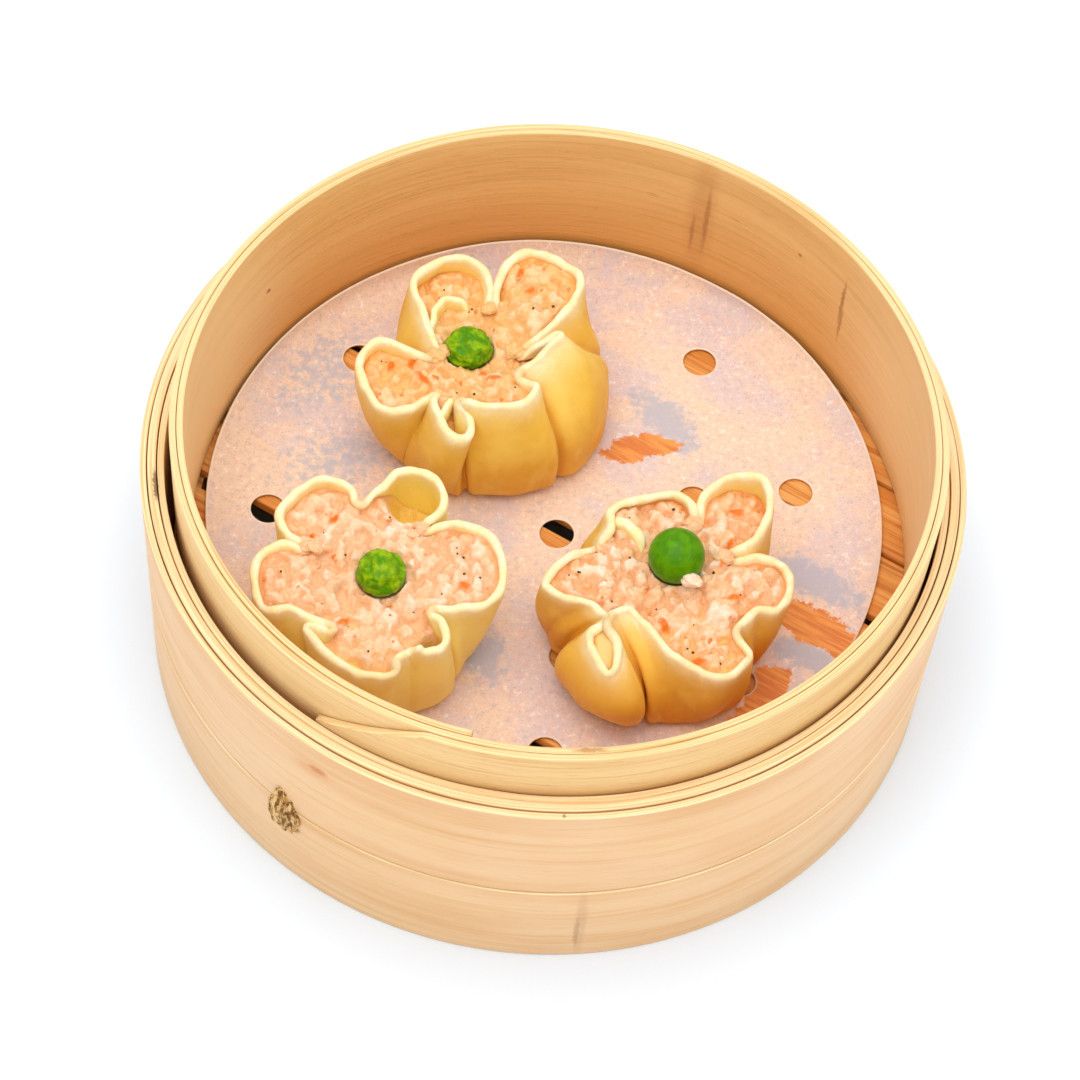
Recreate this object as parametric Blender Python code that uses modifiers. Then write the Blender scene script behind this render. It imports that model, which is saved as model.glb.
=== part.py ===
"""Three open shumai on a punched paper liner in a round bamboo steamer basket.

Metres, +Z up. The origin is the centre of the basket's underside. +X is to the right of someone
who looks along +Y, and the knot on the outer band and the cut end of the inner hoop face -Y.
"""

import math
from collections import namedtuple

import bmesh
import bpy
import numpy as np
from mathutils import Vector, noise
from mathutils.geometry import delaunay_2d_cdt

MM = 0.001

# Basket: radii from its axis and heights above the table
RING_STEPS = 60
BAND_RADIUS = 75.0 * MM
STRIP_GAP = 0.15 * MM
OUTER_STRIP = 1.2 * MM
CORE_STRIP = 1.6 * MM
LINER_STRIP = 1.3 * MM
BAND_TOP = 52.0 * MM
BAND_STEP = 0.4 * MM
GROOVE_HEIGHT = 24.3 * MM
GROOVE_WIDTH = 0.5 * MM

# Inner hoop: one strip wound a little over twice, its outer end cut on the slant
HOOP_TOP = 63.0 * MM
HOOP_STRIP = 1.2 * MM
HOOP_PITCH = 1.32 * MM
HOOP_START_RADIUS = 67.04 * MM
HOOP_START_ANGLE = 262.0
HOOP_END_ANGLE = 239.0
HOOP_FULL_ANGLE = 256.0
HOOP_TURNS = 2
HOOP_COLUMNS = 124

# Floor: slats on a ledge, two bars under them
CONTACT = 0.3 * MM
SLAT_TOP = 26.3 * MM
SLAT_THICKNESS = 2.1 * MM
SLAT_DIRECTION = -27.0
SLAT_REACH = 69.8 * MM
SLAT_PITCH = 14.3 * MM
FIRST_GAP = -54.8 * MM
GAP_WIDTHS = [width * MM for width in (1.2, 3.0, 3.4, 3.2, 3.4, 2.2, 0.8, 0.8, 0.9)]
SLAT_OUTERMOST = 67.5 * MM
LEDGE_INNER = 66.4 * MM
LEDGE_OUTER = 70.3 * MM
LEDGE_BOTTOM = 12.0 * MM
BAR_LENGTH = 112.0 * MM
BAR_WIDTH = 9.0 * MM
BAR_THICKNESS = 2.0 * MM
BAR_PLACES = [-27.0 * MM, 29.0 * MM]

# Paper liner with its punched holes: one in the middle, a ring of four and a ring of eight
PAPER_RADIUS = 64.0 * MM
PAPER_CENTRE = (-1.0 * MM, 5.9 * MM)
PAPER_THICKNESS = 0.3 * MM
PAPER_STEPS = 64
PAPER_GRID = 12.0 * MM
PAPER_BEND_START = 63.0 * MM
PAPER_BEND = 3.0 * MM
PAPER_RIPPLE = 0.5 * MM
RIPPLE_START = 0.75 * PAPER_RADIUS
RIPPLE_WAVES = (5.0, 3.0)
RIPPLE_TURN = 0.7
HOLE_RADIUS = 3.25 * MM
HOLE_STEPS = 8
HOLE_CLEAR = 1.7 * HOLE_RADIUS
HOLE_INSIDE = 0.9 * HOLE_RADIUS
HOLES_CENTRE = (-2.5 * MM, 2.0 * MM)
MIDDLE_HOLE = (1.7 * MM, -0.6 * MM)
INNER_HOLES_RADIUS = 30.6 * MM
INNER_HOLES_ANGLES = [15.5, 105.5, 195.5, 285.5]
OUTER_HOLES_RADIUS = 50.4 * MM
OUTER_HOLES_ANGLES = [14.2, 55.0, 96.0, 137.7, 183.9, 230.0, 276.7, 322.0]

# Knot of the bamboo on the outer band
KNOT_ANGLE = 236.0
KNOT_HEIGHT = 22.8 * MM
KNOT_SIZE = (3.1 * MM, 1.9 * MM, 7.6 * MM)
KNOT_SINK = -0.1 * MM
KNOT_TAPER = 0.45
KNOT_ROUGHNESS = 0.22
KNOT_LUMPS = 2.3

# Wrappers, fillings and peas, in millimetres like the petals below. A level is a share of the
# rim's height, from 0 at the foot to 1 at the rim.
FOOD_BASE = SLAT_TOP + CONTACT + PAPER_THICKNESS + CONTACT
DOUGH = 1.3
DOUGH_EDGE = 1.0
PINCH_INWARDS = 0.6
FILLING_GAP = 0.3
PETAL_TURNS = (-90.0, -45.0, 0.0, 45.0, 90.0)
SAMPLES_PER_BEND = 2
WALL_LEVELS = (0.0, 0.05, 0.2, 0.5, 0.8, 1.0)
WALL_RISE = 0.85
FOOT_INSET = 2.0
FOOT_ROUND = 0.12
FILLING_ROW_LEVELS = (0.2, 0.5, 0.8)
FILLING_ROW_MOST = (0.4, 0.7, 0.92)
FILLING_BELOW_RIM = 1.0
OUTLINE_ROUNDS = 5
PETAL_CENTRE = 0.75
LEVEL_BLEND = 4
LUMP = 0.7
LUMP_SIZE = 4.0
FILLING_REACH = 30.0
FILLING_GRID = 2.7
EDGE_CLEAR = 1.2
PEA_ROOM = 0.5
PEA_SEGMENTS = 12
PEA_RINGS = 8
HOLLOW_RINGS = (1.04, 0.6)
HOLLOW_CLEAR = 1.25
LEAST_HOLLOW = 0.1
WRINKLE_SIZE = 2.2
FOOD_SHARP = 60.0
PEA_SHARP = 80.0

# A petal is a loop of the wrapper's rim: its direction in degrees, how far its tip and its widest
# place (shoulder) lie from the dumpling's axis, its width, the rim's height at the tip and at the
# shoulders, how square its corners are (1 is an ellipse, less is squarer), how far the tip is
# shifted anticlockwise, the radius of the foot under it, and the level of the filling in it.
# All lengths are in millimetres, heights above the dumpling's underside.
Petal = namedtuple("Petal", "direction reach width shoulder tip side corner shift foot level")

# A pinch closes the petal before it: where the rim is drawn in, and the direction of the crease
# at the foot of the wall.
Pinch = namedtuple("Pinch", "direction radius height foot_direction")

# Each dumpling: its axis on the liner, its petals and pinches anticlockwise, how far the wall
# bulges, the pea, and the filling's level round the pea
Shumai = namedtuple("Shumai", "axis folds bulge crease pea_place pea_size wrinkle level")

BACK_SHUMAI = Shumai(
    axis=(-12.0, 25.0),
    folds=[
        (Petal(281, 17.0, 14.0, 11.0, 26.5, 26.5, 0.8, 0.5, 20.5, 22.5), Pinch(304, 7.5, 24.5, 312)),
        (Petal(352, 12.5, 4.6, 8.5, 27.0, 26.0, 1.0, 0.0, 21.5, 19.0), Pinch(27, 9.0, 25.5, 22)),
        (Petal(66, 20.5, 15.0, 13.5, 27.0, 26.0, 0.6, 0.0, 20.5, 25.0), Pinch(106, 9.5, 23.5, 106)),
        (Petal(135, 21.5, 15.5, 14.0, 26.0, 25.0, 0.9, 0.0, 20.0, 21.0), Pinch(196, 13.0, 24.0, 178)),
        (Petal(206, 27.0, 16.5, 21.0, 22.5, 23.5, 0.75, 0.0, 20.5, 19.5), Pinch(231, 17.5, 24.5, 232)),
        (Petal(240, 21.5, 4.2, 17.0, 24.0, 24.8, 1.0, 0.0, 20.5, 18.0), Pinch(248, 15.0, 25.0, 256)),
    ],
    bulge=1.8,
    crease=2.0,
    pea_place=(-6.1, -1.0, 22.0),
    pea_size=(4.6, 4.3, 3.8),
    wrinkle=0.25,
    level=21.0,
)

LEFT_SHUMAI = Shumai(
    axis=(-29.0, -26.0),
    folds=[
        (Petal(5, 21.7, 18.0, 13.5, 22.0, 23.0, 0.8, 0.0, 19.0, 20.5), Pinch(57, 11.8, 21.5, 50)),
        (Petal(75, 20.3, 12.0, 15.0, 24.5, 23.0, 1.0, 0.0, 18.5, 11.0), Pinch(111, 14.6, 23.0, 108)),
        (Petal(141, 22.0, 15.0, 16.0, 23.3, 23.0, 0.8, 0.0, 18.5, 20.5), Pinch(168, 14.3, 23.0, 168)),
        (Petal(194, 22.5, 14.0, 16.5, 20.5, 22.0, 0.8, 0.0, 18.5, 19.5), Pinch(238, 14.5, 22.0, 234)),
        (Petal(262, 18.8, 15.0, 14.5, 18.8, 20.5, 0.8, 0.0, 17.5, 17.0), Pinch(292, 15.5, 21.5, 292)),
        (Petal(307, 20.2, 5.4, 17.0, 22.5, 22.8, 1.0, 0.0, 18.0, 16.0), Pinch(318, 14.0, 23.5, 322)),
    ],
    bulge=1.2,
    crease=1.6,
    pea_place=(0.3, -1.6, 21.8),
    pea_size=(4.5, 4.5, 4.0),
    wrinkle=0.25,
    level=20.5,
)

RIGHT_SHUMAI = Shumai(
    axis=(22.5, -20.0),
    folds=[
        (Petal(356, 21.5, 11.0, 16.0, 21.0, 21.0, 0.9, 0.0, 19.0, 19.8), Pinch(20, 11.3, 22.5, 14)),
        (Petal(49, 23.6, 12.5, 15.5, 26.5, 23.5, 1.15, 0.5, 18.0, 20.0), Pinch(69, 11.0, 22.5, 72)),
        (Petal(115, 14.6, 16.0, 10.5, 23.5, 23.0, 0.7, 0.0, 17.5, 20.5), Pinch(165, 14.6, 21.5, 163)),
        (Petal(194, 23.0, 9.5, 17.0, 21.0, 22.0, 1.1, 0.0, 19.5, 19.5), Pinch(222, 14.5, 23.0, 206)),
        (Petal(241, 23.0, 4.4, 18.0, 18.5, 21.5, 1.0, 0.0, 21.5, 15.5), Pinch(247, 12.5, 23.5, 261)),
        (Petal(294, 21.8, 15.0, 15.0, 19.5, 21.0, 0.8, 0.0, 21.0, 17.5), Pinch(320, 15.0, 21.0, 322)),
    ],
    bulge=1.6,
    crease=2.4,
    pea_place=(0.7, 1.4, 23.0),
    pea_size=(5.1, 5.1, 5.1),
    wrinkle=0.0,
    level=20.8,
)

SHUMAI = {"back": BACK_SHUMAI, "left": LEFT_SHUMAI, "right": RIGHT_SHUMAI}

BAMBOO_PALE = (0.86, 0.68, 0.42)
BAMBOO_INSIDE = (0.78, 0.52, 0.26)
BAMBOO_FLOOR = (0.74, 0.42, 0.15)
BAMBOO_KNOT = (0.48, 0.34, 0.18)
PAPER_COLOUR = (0.86, 0.74, 0.68)
DOUGH_COLOUR = (0.84, 0.64, 0.30)
FILLING_COLOUR = (0.84, 0.60, 0.44)
PEA_COLOUR = (0.10, 0.36, 0.03)


def clear_scene():
    for obj in list(bpy.data.objects):
        bpy.data.objects.remove(obj, do_unlink=True)


def make_collection(name):
    collection = bpy.data.collections.new(name)
    bpy.context.scene.collection.children.link(collection)
    return collection


def make_material(name, colour, roughness):
    material = bpy.data.materials.new(name)
    material.use_nodes = True
    shader = material.node_tree.nodes["Principled BSDF"]
    shader.inputs["Base Color"].default_value = (*colour, 1.0)
    shader.inputs["Roughness"].default_value = roughness
    shader.inputs["Metallic"].default_value = 0.0
    return material


def add_object(name, data, material, collection):
    obj = bpy.data.objects.new(name, data)
    data.materials.append(material)
    collection.objects.link(obj)
    return obj


def add_mesh(name, points, faces, material, collection):
    mesh = bpy.data.meshes.new(name)
    mesh.from_pydata([tuple(point) for point in points], [], faces)
    mesh.validate()
    return add_object(name, mesh, material, collection)


def smooth_shading(obj, sharp_degrees=40.0):
    obj.data.shade_smooth()
    obj.data.set_sharp_from_angle(angle=math.radians(sharp_degrees))


def direction_vector(degrees):
    return np.array([math.cos(math.radians(degrees)), math.sin(math.radians(degrees))])


def add_ring(name, inner, outer, bottom, top, material, collection):
    """A plain hoop, turned from a rectangular profile that runs down its outer side."""
    mesh = bpy.data.meshes.new(name)
    profile = [(outer, 0, top), (outer, 0, bottom), (inner, 0, bottom), (inner, 0, top)]
    mesh.from_pydata(profile, [(0, 1), (1, 2), (2, 3), (3, 0)], [])
    ring = add_object(name, mesh, material, collection)
    screw = ring.modifiers.new("Turn", "SCREW")
    screw.steps = RING_STEPS
    screw.render_steps = RING_STEPS
    screw.use_merge_vertices = True
    screw.merge_threshold = 0.00001
    screw.use_smooth_shade = True
    return ring


def add_bands(material, collection):
    """The outer band: a liner strip, a core strip, and a thin strip above and below the groove."""
    outer_inner = BAND_RADIUS - OUTER_STRIP
    core_outer = outer_inner - STRIP_GAP
    core_inner = core_outer - CORE_STRIP
    liner_outer = core_inner - STRIP_GAP
    liner_inner = liner_outer - LINER_STRIP
    groove_top = GROOVE_HEIGHT + GROOVE_WIDTH / 2
    groove_bottom = GROOVE_HEIGHT - GROOVE_WIDTH / 2
    low_top = BAND_TOP - BAND_STEP
    add_ring("band_upper", outer_inner, BAND_RADIUS, groove_top, low_top, material, collection)
    add_ring("band_lower", outer_inner, BAND_RADIUS, 0.0, groove_bottom, material, collection)
    add_ring("band_core", core_inner, core_outer, 0.0, BAND_TOP, material, collection)
    add_ring("band_liner", liner_inner, liner_outer, 0.0, low_top, material, collection)


def add_inner_hoop(material, collection):
    """One strip wound clockwise, outwards, with its last stretch cut down to the band's top."""
    bottom = SLAT_TOP + CONTACT
    sweep = HOOP_TURNS * 360.0 + HOOP_START_ANGLE - HOOP_END_ANGLE
    cut = HOOP_FULL_ANGLE - HOOP_END_ANGLE
    points = []
    for column in range(HOOP_COLUMNS + 1):
        turned = sweep * column / HOOP_COLUMNS
        plan = direction_vector(HOOP_START_ANGLE - turned)
        plan = plan * (HOOP_START_RADIUS + HOOP_PITCH * turned / 360.0)
        left = min(1.0, (sweep - turned) / cut)
        top = BAND_TOP + (HOOP_TOP - BAND_TOP) * left
        points.append((plan[0], plan[1], bottom))
        points.append((plan[0], plan[1], top))
    faces = [
        (2 * column, 2 * column + 1, 2 * column + 3, 2 * column + 2)
        for column in range(HOOP_COLUMNS)
    ]
    hoop = add_mesh("inner_hoop", points, faces, material, collection)
    thicken = hoop.modifiers.new("Strip", "SOLIDIFY")
    thicken.thickness = HOOP_STRIP
    thicken.offset = 0.0
    smooth_shading(hoop)


def add_flat_outline(name, outline, thickness, top, material, collection):
    """A flat piece: a closed 2D curve, filled and extruded, with its upper face at the top."""
    curve = bpy.data.curves.new(name, "CURVE")
    curve.dimensions = "2D"
    curve.fill_mode = "BOTH"
    curve.extrude = thickness / 2
    spline = curve.splines.new("POLY")
    spline.points.add(len(outline) - 1)
    for point, (x, y) in zip(spline.points, outline):
        point.co = (x, y, 0.0, 1.0)
    spline.use_cyclic_u = True
    piece = add_object(name, curve, material, collection)
    piece.location = (0.0, 0.0, top - thickness / 2)
    piece.rotation_euler = (0.0, 0.0, math.radians(SLAT_DIRECTION))
    return piece


def slat_end(offset):
    return math.sqrt(SLAT_REACH**2 - offset**2)


def add_slats(material, collection):
    """Flat slats side by side, their ends cut to the round of the basket."""
    gaps = [FIRST_GAP + SLAT_PITCH * index for index in range(len(GAP_WIDTHS))]
    lows = [-SLAT_OUTERMOST] + [gap + width / 2 for gap, width in zip(gaps, GAP_WIDTHS)]
    highs = [gap - width / 2 for gap, width in zip(gaps, GAP_WIDTHS)] + [SLAT_OUTERMOST]
    for number, (low, high) in enumerate(zip(lows, highs), start=1):
        offsets = [low, (low + high) / 2, high]
        right = [(slat_end(offset), offset) for offset in offsets]
        left = [(-slat_end(offset), offset) for offset in reversed(offsets)]
        add_flat_outline(
            f"slat_{number}", right + left, SLAT_THICKNESS, SLAT_TOP, material, collection
        )


def add_floor_support(material, collection):
    slat_bottom = SLAT_TOP - SLAT_THICKNESS
    top = slat_bottom - CONTACT
    add_ring("floor_ledge", LEDGE_INNER, LEDGE_OUTER, LEDGE_BOTTOM, top, material, collection)
    half = BAR_LENGTH / 2
    for number, place in enumerate(BAR_PLACES, start=1):
        sides = (place - BAR_WIDTH / 2, place + BAR_WIDTH / 2)
        outline = [(sides[0], -half), (sides[1], -half), (sides[1], half), (sides[0], half)]
        add_flat_outline(f"floor_bar_{number}", outline, BAR_THICKNESS, top, material, collection)


def circle_points(centre, radius, steps):
    angles = [360.0 * step / steps for step in range(steps)]
    return [np.array(centre) + radius * direction_vector(angle) for angle in angles]


def hole_centres():
    centre = np.array(HOLES_CENTRE)
    inner = [centre + INNER_HOLES_RADIUS * direction_vector(a) for a in INNER_HOLES_ANGLES]
    outer = [centre + OUTER_HOLES_RADIUS * direction_vector(a) for a in OUTER_HOLES_ANGLES]
    return [np.array(MIDDLE_HOLE)] + inner + outer


def smoothstep(low, high, value):
    part = min(1.0, max(0.0, (value - low) / (high - low)))
    return part * part * (3.0 - 2.0 * part)


def paper_point(plan, height):
    """Where a point of the flat sheet lies: it ripples near its edge and curls up the back wall."""
    radius = float(np.linalg.norm(plan))
    angle = math.atan2(plan[1], plan[0])
    edge = smoothstep(RIPPLE_START, PAPER_RADIUS, radius)
    fine = math.sin(RIPPLE_WAVES[0] * angle + RIPPLE_TURN)
    wave = 0.5 + 0.5 * fine * math.cos(RIPPLE_WAVES[1] * angle)
    lift = PAPER_RIPPLE * edge * wave
    excess = radius - PAPER_BEND_START
    if excess > 0.0:
        turn = min(excess / PAPER_BEND, math.pi / 2)
        straight = max(0.0, excess - PAPER_BEND * math.pi / 2)
        lift += PAPER_BEND * (1.0 - math.cos(turn)) + straight
        plan = plan / radius * (PAPER_BEND_START + PAPER_BEND * math.sin(turn))
    return (plan[0], plan[1], height + lift)


def triangulate(loops, inner_points, keep):
    """Points and triangles of the area between closed loops, where the centre of each is kept."""
    points = [Vector(point) for loop in loops for point in loop]
    edges = []
    start = 0
    for loop in loops:
        count = len(loop)
        edges += [(start + step, start + (step + 1) % count) for step in range(count)]
        start += count
    points += [Vector(point) for point in inner_points]
    found = delaunay_2d_cdt(points, edges, [], 0, 1e-7)
    corners = [np.array(point) for point in found[0]]
    faces = [face for face in found[2] if keep(sum(corners[corner] for corner in face) / 3.0)]
    return corners, faces


def grid_points(centre, radius, spacing):
    """A triangular grid over a disc."""
    rows = int(radius / spacing) + 2
    found = []
    for row in range(-rows, rows + 1):
        shift = 0.5 * (row % 2)
        for column in range(-rows, rows + 1):
            point = np.array([(column + shift) * spacing, row * spacing * math.sqrt(0.75)])
            if np.linalg.norm(point) < radius:
                found.append(point + np.array(centre))
    return found


def add_paper(material, collection):
    holes = hole_centres()
    outline = circle_points(PAPER_CENTRE, PAPER_RADIUS, PAPER_STEPS)
    loops = [outline] + [circle_points(hole, HOLE_RADIUS, HOLE_STEPS) for hole in holes]
    grid = [
        point
        for point in grid_points(PAPER_CENTRE, PAPER_RADIUS - PAPER_BEND, PAPER_GRID)
        if min(np.linalg.norm(point - hole) for hole in holes) > HOLE_CLEAR
    ]

    def is_paper(point):
        return min(np.linalg.norm(point - hole) for hole in holes) > HOLE_INSIDE

    corners, faces = triangulate(loops, grid, is_paper)
    height = SLAT_TOP + CONTACT + PAPER_THICKNESS / 2
    points = [paper_point(corner, height) for corner in corners]
    sheet = add_mesh("paper_liner", points, faces, material, collection)
    thicken = sheet.modifiers.new("Sheet", "SOLIDIFY")
    thicken.thickness = PAPER_THICKNESS
    thicken.offset = 0.0
    smooth_shading(sheet)


def rim_stations(shumai):
    """Rim points with what goes with them: x, y, height, foot direction, foot radius, crease."""
    stations = []
    previous = shumai.folds[-1][1].foot_direction - 360.0
    for petal, pinch in shumai.folds:
        along = direction_vector(petal.direction)
        across = np.array([-along[1], along[0]])
        following = previous + (pinch.foot_direction - previous) % 360.0
        for step, turn in enumerate(PETAL_TURNS, start=1):
            outward = abs(math.cos(math.radians(turn))) ** petal.corner
            sideways = math.copysign(abs(math.sin(math.radians(turn))) ** petal.corner, turn)
            distance = petal.shoulder + (petal.reach - petal.shoulder) * outward
            offset = petal.width / 2 * sideways + petal.shift * outward
            plan = along * distance + across * offset
            height = petal.side + (petal.tip - petal.side) * outward
            part = step / (len(PETAL_TURNS) + 1)
            foot_direction = previous + (following - previous) * part
            stations.append([plan[0], plan[1], height, foot_direction, petal.foot, 0.0])
        plan = direction_vector(pinch.direction) * pinch.radius
        stations.append([plan[0], plan[1], pinch.height, following, petal.foot, 1.0])
        previous = following
    return np.array(stations)


def between(first, second, start, end, at):
    return (first * (end - at) + second * (at - start)) / (end - start)


def closed_spline(stations, samples):
    """Centripetal Catmull-Rom through closed stations, whose foot direction gains a full turn."""
    count = len(stations)
    full_turn = np.array([0.0, 0.0, 0.0, 360.0, 0.0, 0.0])
    columns = []
    for index in range(count):
        wrapped = range(index - 1, index + 3)
        p = [stations[step % count] + full_turn * (step // count) for step in wrapped]
        t = [0.0]
        for step in range(3):
            t.append(t[-1] + math.sqrt(np.linalg.norm(p[step + 1][:3] - p[step][:3])))
        for sample in range(samples):
            at = t[1] + (t[2] - t[1]) * sample / samples
            a = [between(p[k], p[k + 1], t[k], t[k + 1], at) for k in range(3)]
            b = [between(a[k], a[k + 1], t[k], t[k + 2], at) for k in range(2)]
            columns.append(between(b[0], b[1], t[1], t[2], at))
    return np.array(columns)


def wall_plan(shumai, columns, level):
    """The middle of the wall at a level: the plan goes from the round foot to the rim."""
    angles = np.radians(columns[:, 3])
    outward = np.stack([np.cos(angles), np.sin(angles)], axis=1)
    crease = columns[:, 5:6]
    foot = outward * (columns[:, 4:5] - shumai.crease * crease)
    bulge = shumai.bulge * math.sin(math.pi * level) * (1.0 - crease)
    inset = FOOT_INSET * max(0.0, 1.0 - level / FOOT_ROUND) ** 2
    rise = level**WALL_RISE
    return foot * (1.0 - rise) + columns[:, :2] * rise + outward * (bulge - inset)


def wall_row(shumai, columns, level, side):
    """Points of the wall at a level, moved sideways (outwards if positive) along its normal.

    In a pinch the wall moves inwards, so that its outer side stays clear of itself.
    """
    plan = wall_plan(shumai, columns, level)
    tangent = np.roll(plan, -1, axis=0) - np.roll(plan, 1, axis=0)
    tangent /= np.linalg.norm(tangent, axis=1, keepdims=True)
    normal = np.stack([tangent[:, 1], -tangent[:, 0]], axis=1)
    crease = np.clip(columns[:, 5:6], 0.0, 1.0)
    plan = plan + normal * (side - PINCH_INWARDS * crease)
    return np.column_stack([plan, columns[:, 2] * level])


def row_faces(rows, count):
    """Quads that join each ring of points to the next."""
    return [
        (
            row * count + step,
            row * count + (step + 1) % count,
            (row + 1) * count + (step + 1) % count,
            (row + 1) * count + step,
        )
        for row in range(rows - 1)
        for step in range(count)
    ]


def fan_faces(start, centre, count):
    """Triangles that close a ring of points, seen anticlockwise from above, to its centre."""
    return [(start + step, start + (step + 1) % count, centre) for step in range(count)]


def place_points(shumai, points):
    """Millimetres round the dumpling's axis become metres in the basket."""
    placed = np.array(points)
    placed[:, :2] += shumai.axis
    placed *= MM
    placed[:, 2] += FOOD_BASE
    return placed


def add_wrapper(name, shumai, material, collection):
    """The wrapper: an outer and an inner wall that meet at the rim, and a closed bottom."""
    columns = closed_spline(rim_stations(shumai), SAMPLES_PER_BEND)
    count = len(columns)
    rows = [wall_row(shumai, columns, level, DOUGH / 2) for level in WALL_LEVELS[:-1]]
    rows.append(wall_row(shumai, columns, 1.0, DOUGH_EDGE / 2))
    rows.append(wall_row(shumai, columns, 1.0, -DOUGH_EDGE / 2))
    rows += [wall_row(shumai, columns, level, -DOUGH / 2) for level in WALL_LEVELS[-2:0:-1]]
    rows[-1][:, 2] = DOUGH
    faces = row_faces(len(rows), count)
    under = len(rows) * count
    faces += [face[::-1] for face in fan_faces(0, under, count)]
    faces += fan_faces((len(rows) - 1) * count, under + 1, count)
    centres = [[0.0, 0.0, 0.0], [0.0, 0.0, DOUGH]]
    points = place_points(shumai, np.vstack(rows + [centres]))
    wrapper = add_mesh(name, points, faces, material, collection)
    smooth_shading(wrapper, FOOD_SHARP)


def filling_height(shumai, plan):
    """The level of the filling: each petal draws it to its own level, and it is lumpy."""
    places = [np.zeros(2)]
    levels = [shumai.level]
    for petal, _ in shumai.folds:
        places.append(direction_vector(petal.direction) * petal.reach * PETAL_CENTRE)
        levels.append(petal.level)
    weights = [1.0 / (np.linalg.norm(plan - place) ** LEVEL_BLEND + 1.0) for place in places]
    spot = Vector((plan[0], plan[1], shumai.axis[0])) / LUMP_SIZE
    return np.dot(weights, levels) / sum(weights) + LUMP * noise.noise(spot)


def pea_flat_distance(shumai, plan):
    """How far a point lies from the pea's centre in plan: 1 is the edge of the pea's hollow."""
    room = np.array(shumai.pea_size[:2]) + PEA_ROOM
    return float(np.linalg.norm((plan - np.array(shumai.pea_place[:2])) / room))


def filling_top(shumai, plan):
    """The height of the filling at a point, hollowed out for the pea."""
    height = filling_height(shumai, plan)
    flat = pea_flat_distance(shumai, plan)
    if flat >= 1.0:
        return height
    depth = (shumai.pea_size[2] + PEA_ROOM) * math.sqrt(1.0 - flat**2)
    return min(height, shumai.pea_place[2] - depth)


def on_wall(wall, step, height):
    """The plan of one column of the wall at a height, read between the rows above and below."""
    line = wall[:, step]
    return np.array([np.interp(height, line[:, 2], line[:, axis]) for axis in (0, 1)])


def filling_outline(shumai, columns, wall):
    """Where the filling's top meets the wrapper."""
    outline = []
    for step, column in enumerate(columns):
        height = shumai.level
        for _ in range(OUTLINE_ROUNDS):
            plan = on_wall(wall, step, height)
            height = min(filling_height(shumai, plan), column[2] - FILLING_BELOW_RIM)
        outline.append([*on_wall(wall, step, height), height])
    return np.array(outline)


def inside_outline(point, outline, clear):
    """Whether a point lies inside a closed outline, at least this far from its sides."""
    following = np.roll(outline, -1, axis=0)
    span = following - outline
    share = np.sum((point - outline) * span, axis=1) / np.sum(span * span, axis=1)
    nearest = outline + span * np.clip(share, 0.0, 1.0)[:, None]
    if np.min(np.linalg.norm(nearest - point, axis=1)) < clear:
        return False
    rising = (outline[:, 1] > point[1]) != (following[:, 1] > point[1])
    with np.errstate(divide="ignore", invalid="ignore"):
        crossing = outline[:, 0] + span[:, 0] * (point[1] - outline[:, 1]) / span[:, 1]
    return bool(np.count_nonzero(rising & (crossing > point[0])) % 2)


def pea_ring_points(shumai):
    """Two rings and a middle point, so that the hollow under the pea keeps its round form."""
    place = np.array(shumai.pea_place[:2])
    room = np.array(shumai.pea_size) + PEA_ROOM
    above = (shumai.pea_place[2] - shumai.level) / room[2]
    share = math.sqrt(max(LEAST_HOLLOW, 1.0 - above**2))
    angles = [360.0 * step / PEA_SEGMENTS for step in range(PEA_SEGMENTS)]
    rings = [
        place + direction_vector(angle) * room[:2] * share * size
        for size in HOLLOW_RINGS
        for angle in angles
    ]
    return rings + [place]


def add_filling(name, shumai, material, collection):
    """The filling fits the wrapper's inside, up to its own lumpy top with the pea's hollow."""
    columns = closed_spline(rim_stations(shumai), SAMPLES_PER_BEND)
    count = len(columns)
    side = -DOUGH / 2 - FILLING_GAP
    wall = np.array([wall_row(shumai, columns, level, side) for level in WALL_LEVELS])
    bottom_height = DOUGH + FILLING_GAP
    top = filling_outline(shumai, columns, wall)
    rows = [[[*on_wall(wall, step, bottom_height), bottom_height] for step in range(count)]]
    for level, most in zip(FILLING_ROW_LEVELS, FILLING_ROW_MOST):
        below_top = bottom_height + (top[:, 2] - bottom_height) * most
        heights = np.minimum(columns[:, 2] * level, below_top)
        rows.append([[*on_wall(wall, step, heights[step]), heights[step]] for step in range(count)])
    # Turned by a corner, each quad splits along the same diagonal as the wrapper's inner wall.
    faces = [face[1:] + face[:1] for face in row_faces(len(rows) + 1, count)]
    points = [point for row in rows for point in row]
    edge = top[:, :2]
    rings = [p for p in pea_ring_points(shumai) if inside_outline(p, edge, EDGE_CLEAR / 2)]
    grid = [
        point
        for point in grid_points((0.0, 0.0), FILLING_REACH, FILLING_GRID)
        if inside_outline(point, edge, EDGE_CLEAR)
        and pea_flat_distance(shumai, point) > HOLLOW_CLEAR
    ]

    def inside(point):
        return inside_outline(point, edge, 0.0)

    corners, triangles = triangulate([edge], rings + grid, inside)
    start = len(points)
    points += [list(point) for point in top]
    points += [[*corner, filling_top(shumai, corner)] for corner in corners[count:]]
    faces += [tuple(start + corner for corner in face) for face in triangles]
    points.append([0.0, 0.0, bottom_height])
    faces += [face[::-1] for face in fan_faces(0, len(points) - 1, count)]
    placed = place_points(shumai, points)
    filling = add_mesh(name, placed, faces, material, collection)
    smooth_shading(filling, FOOD_SHARP)


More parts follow.
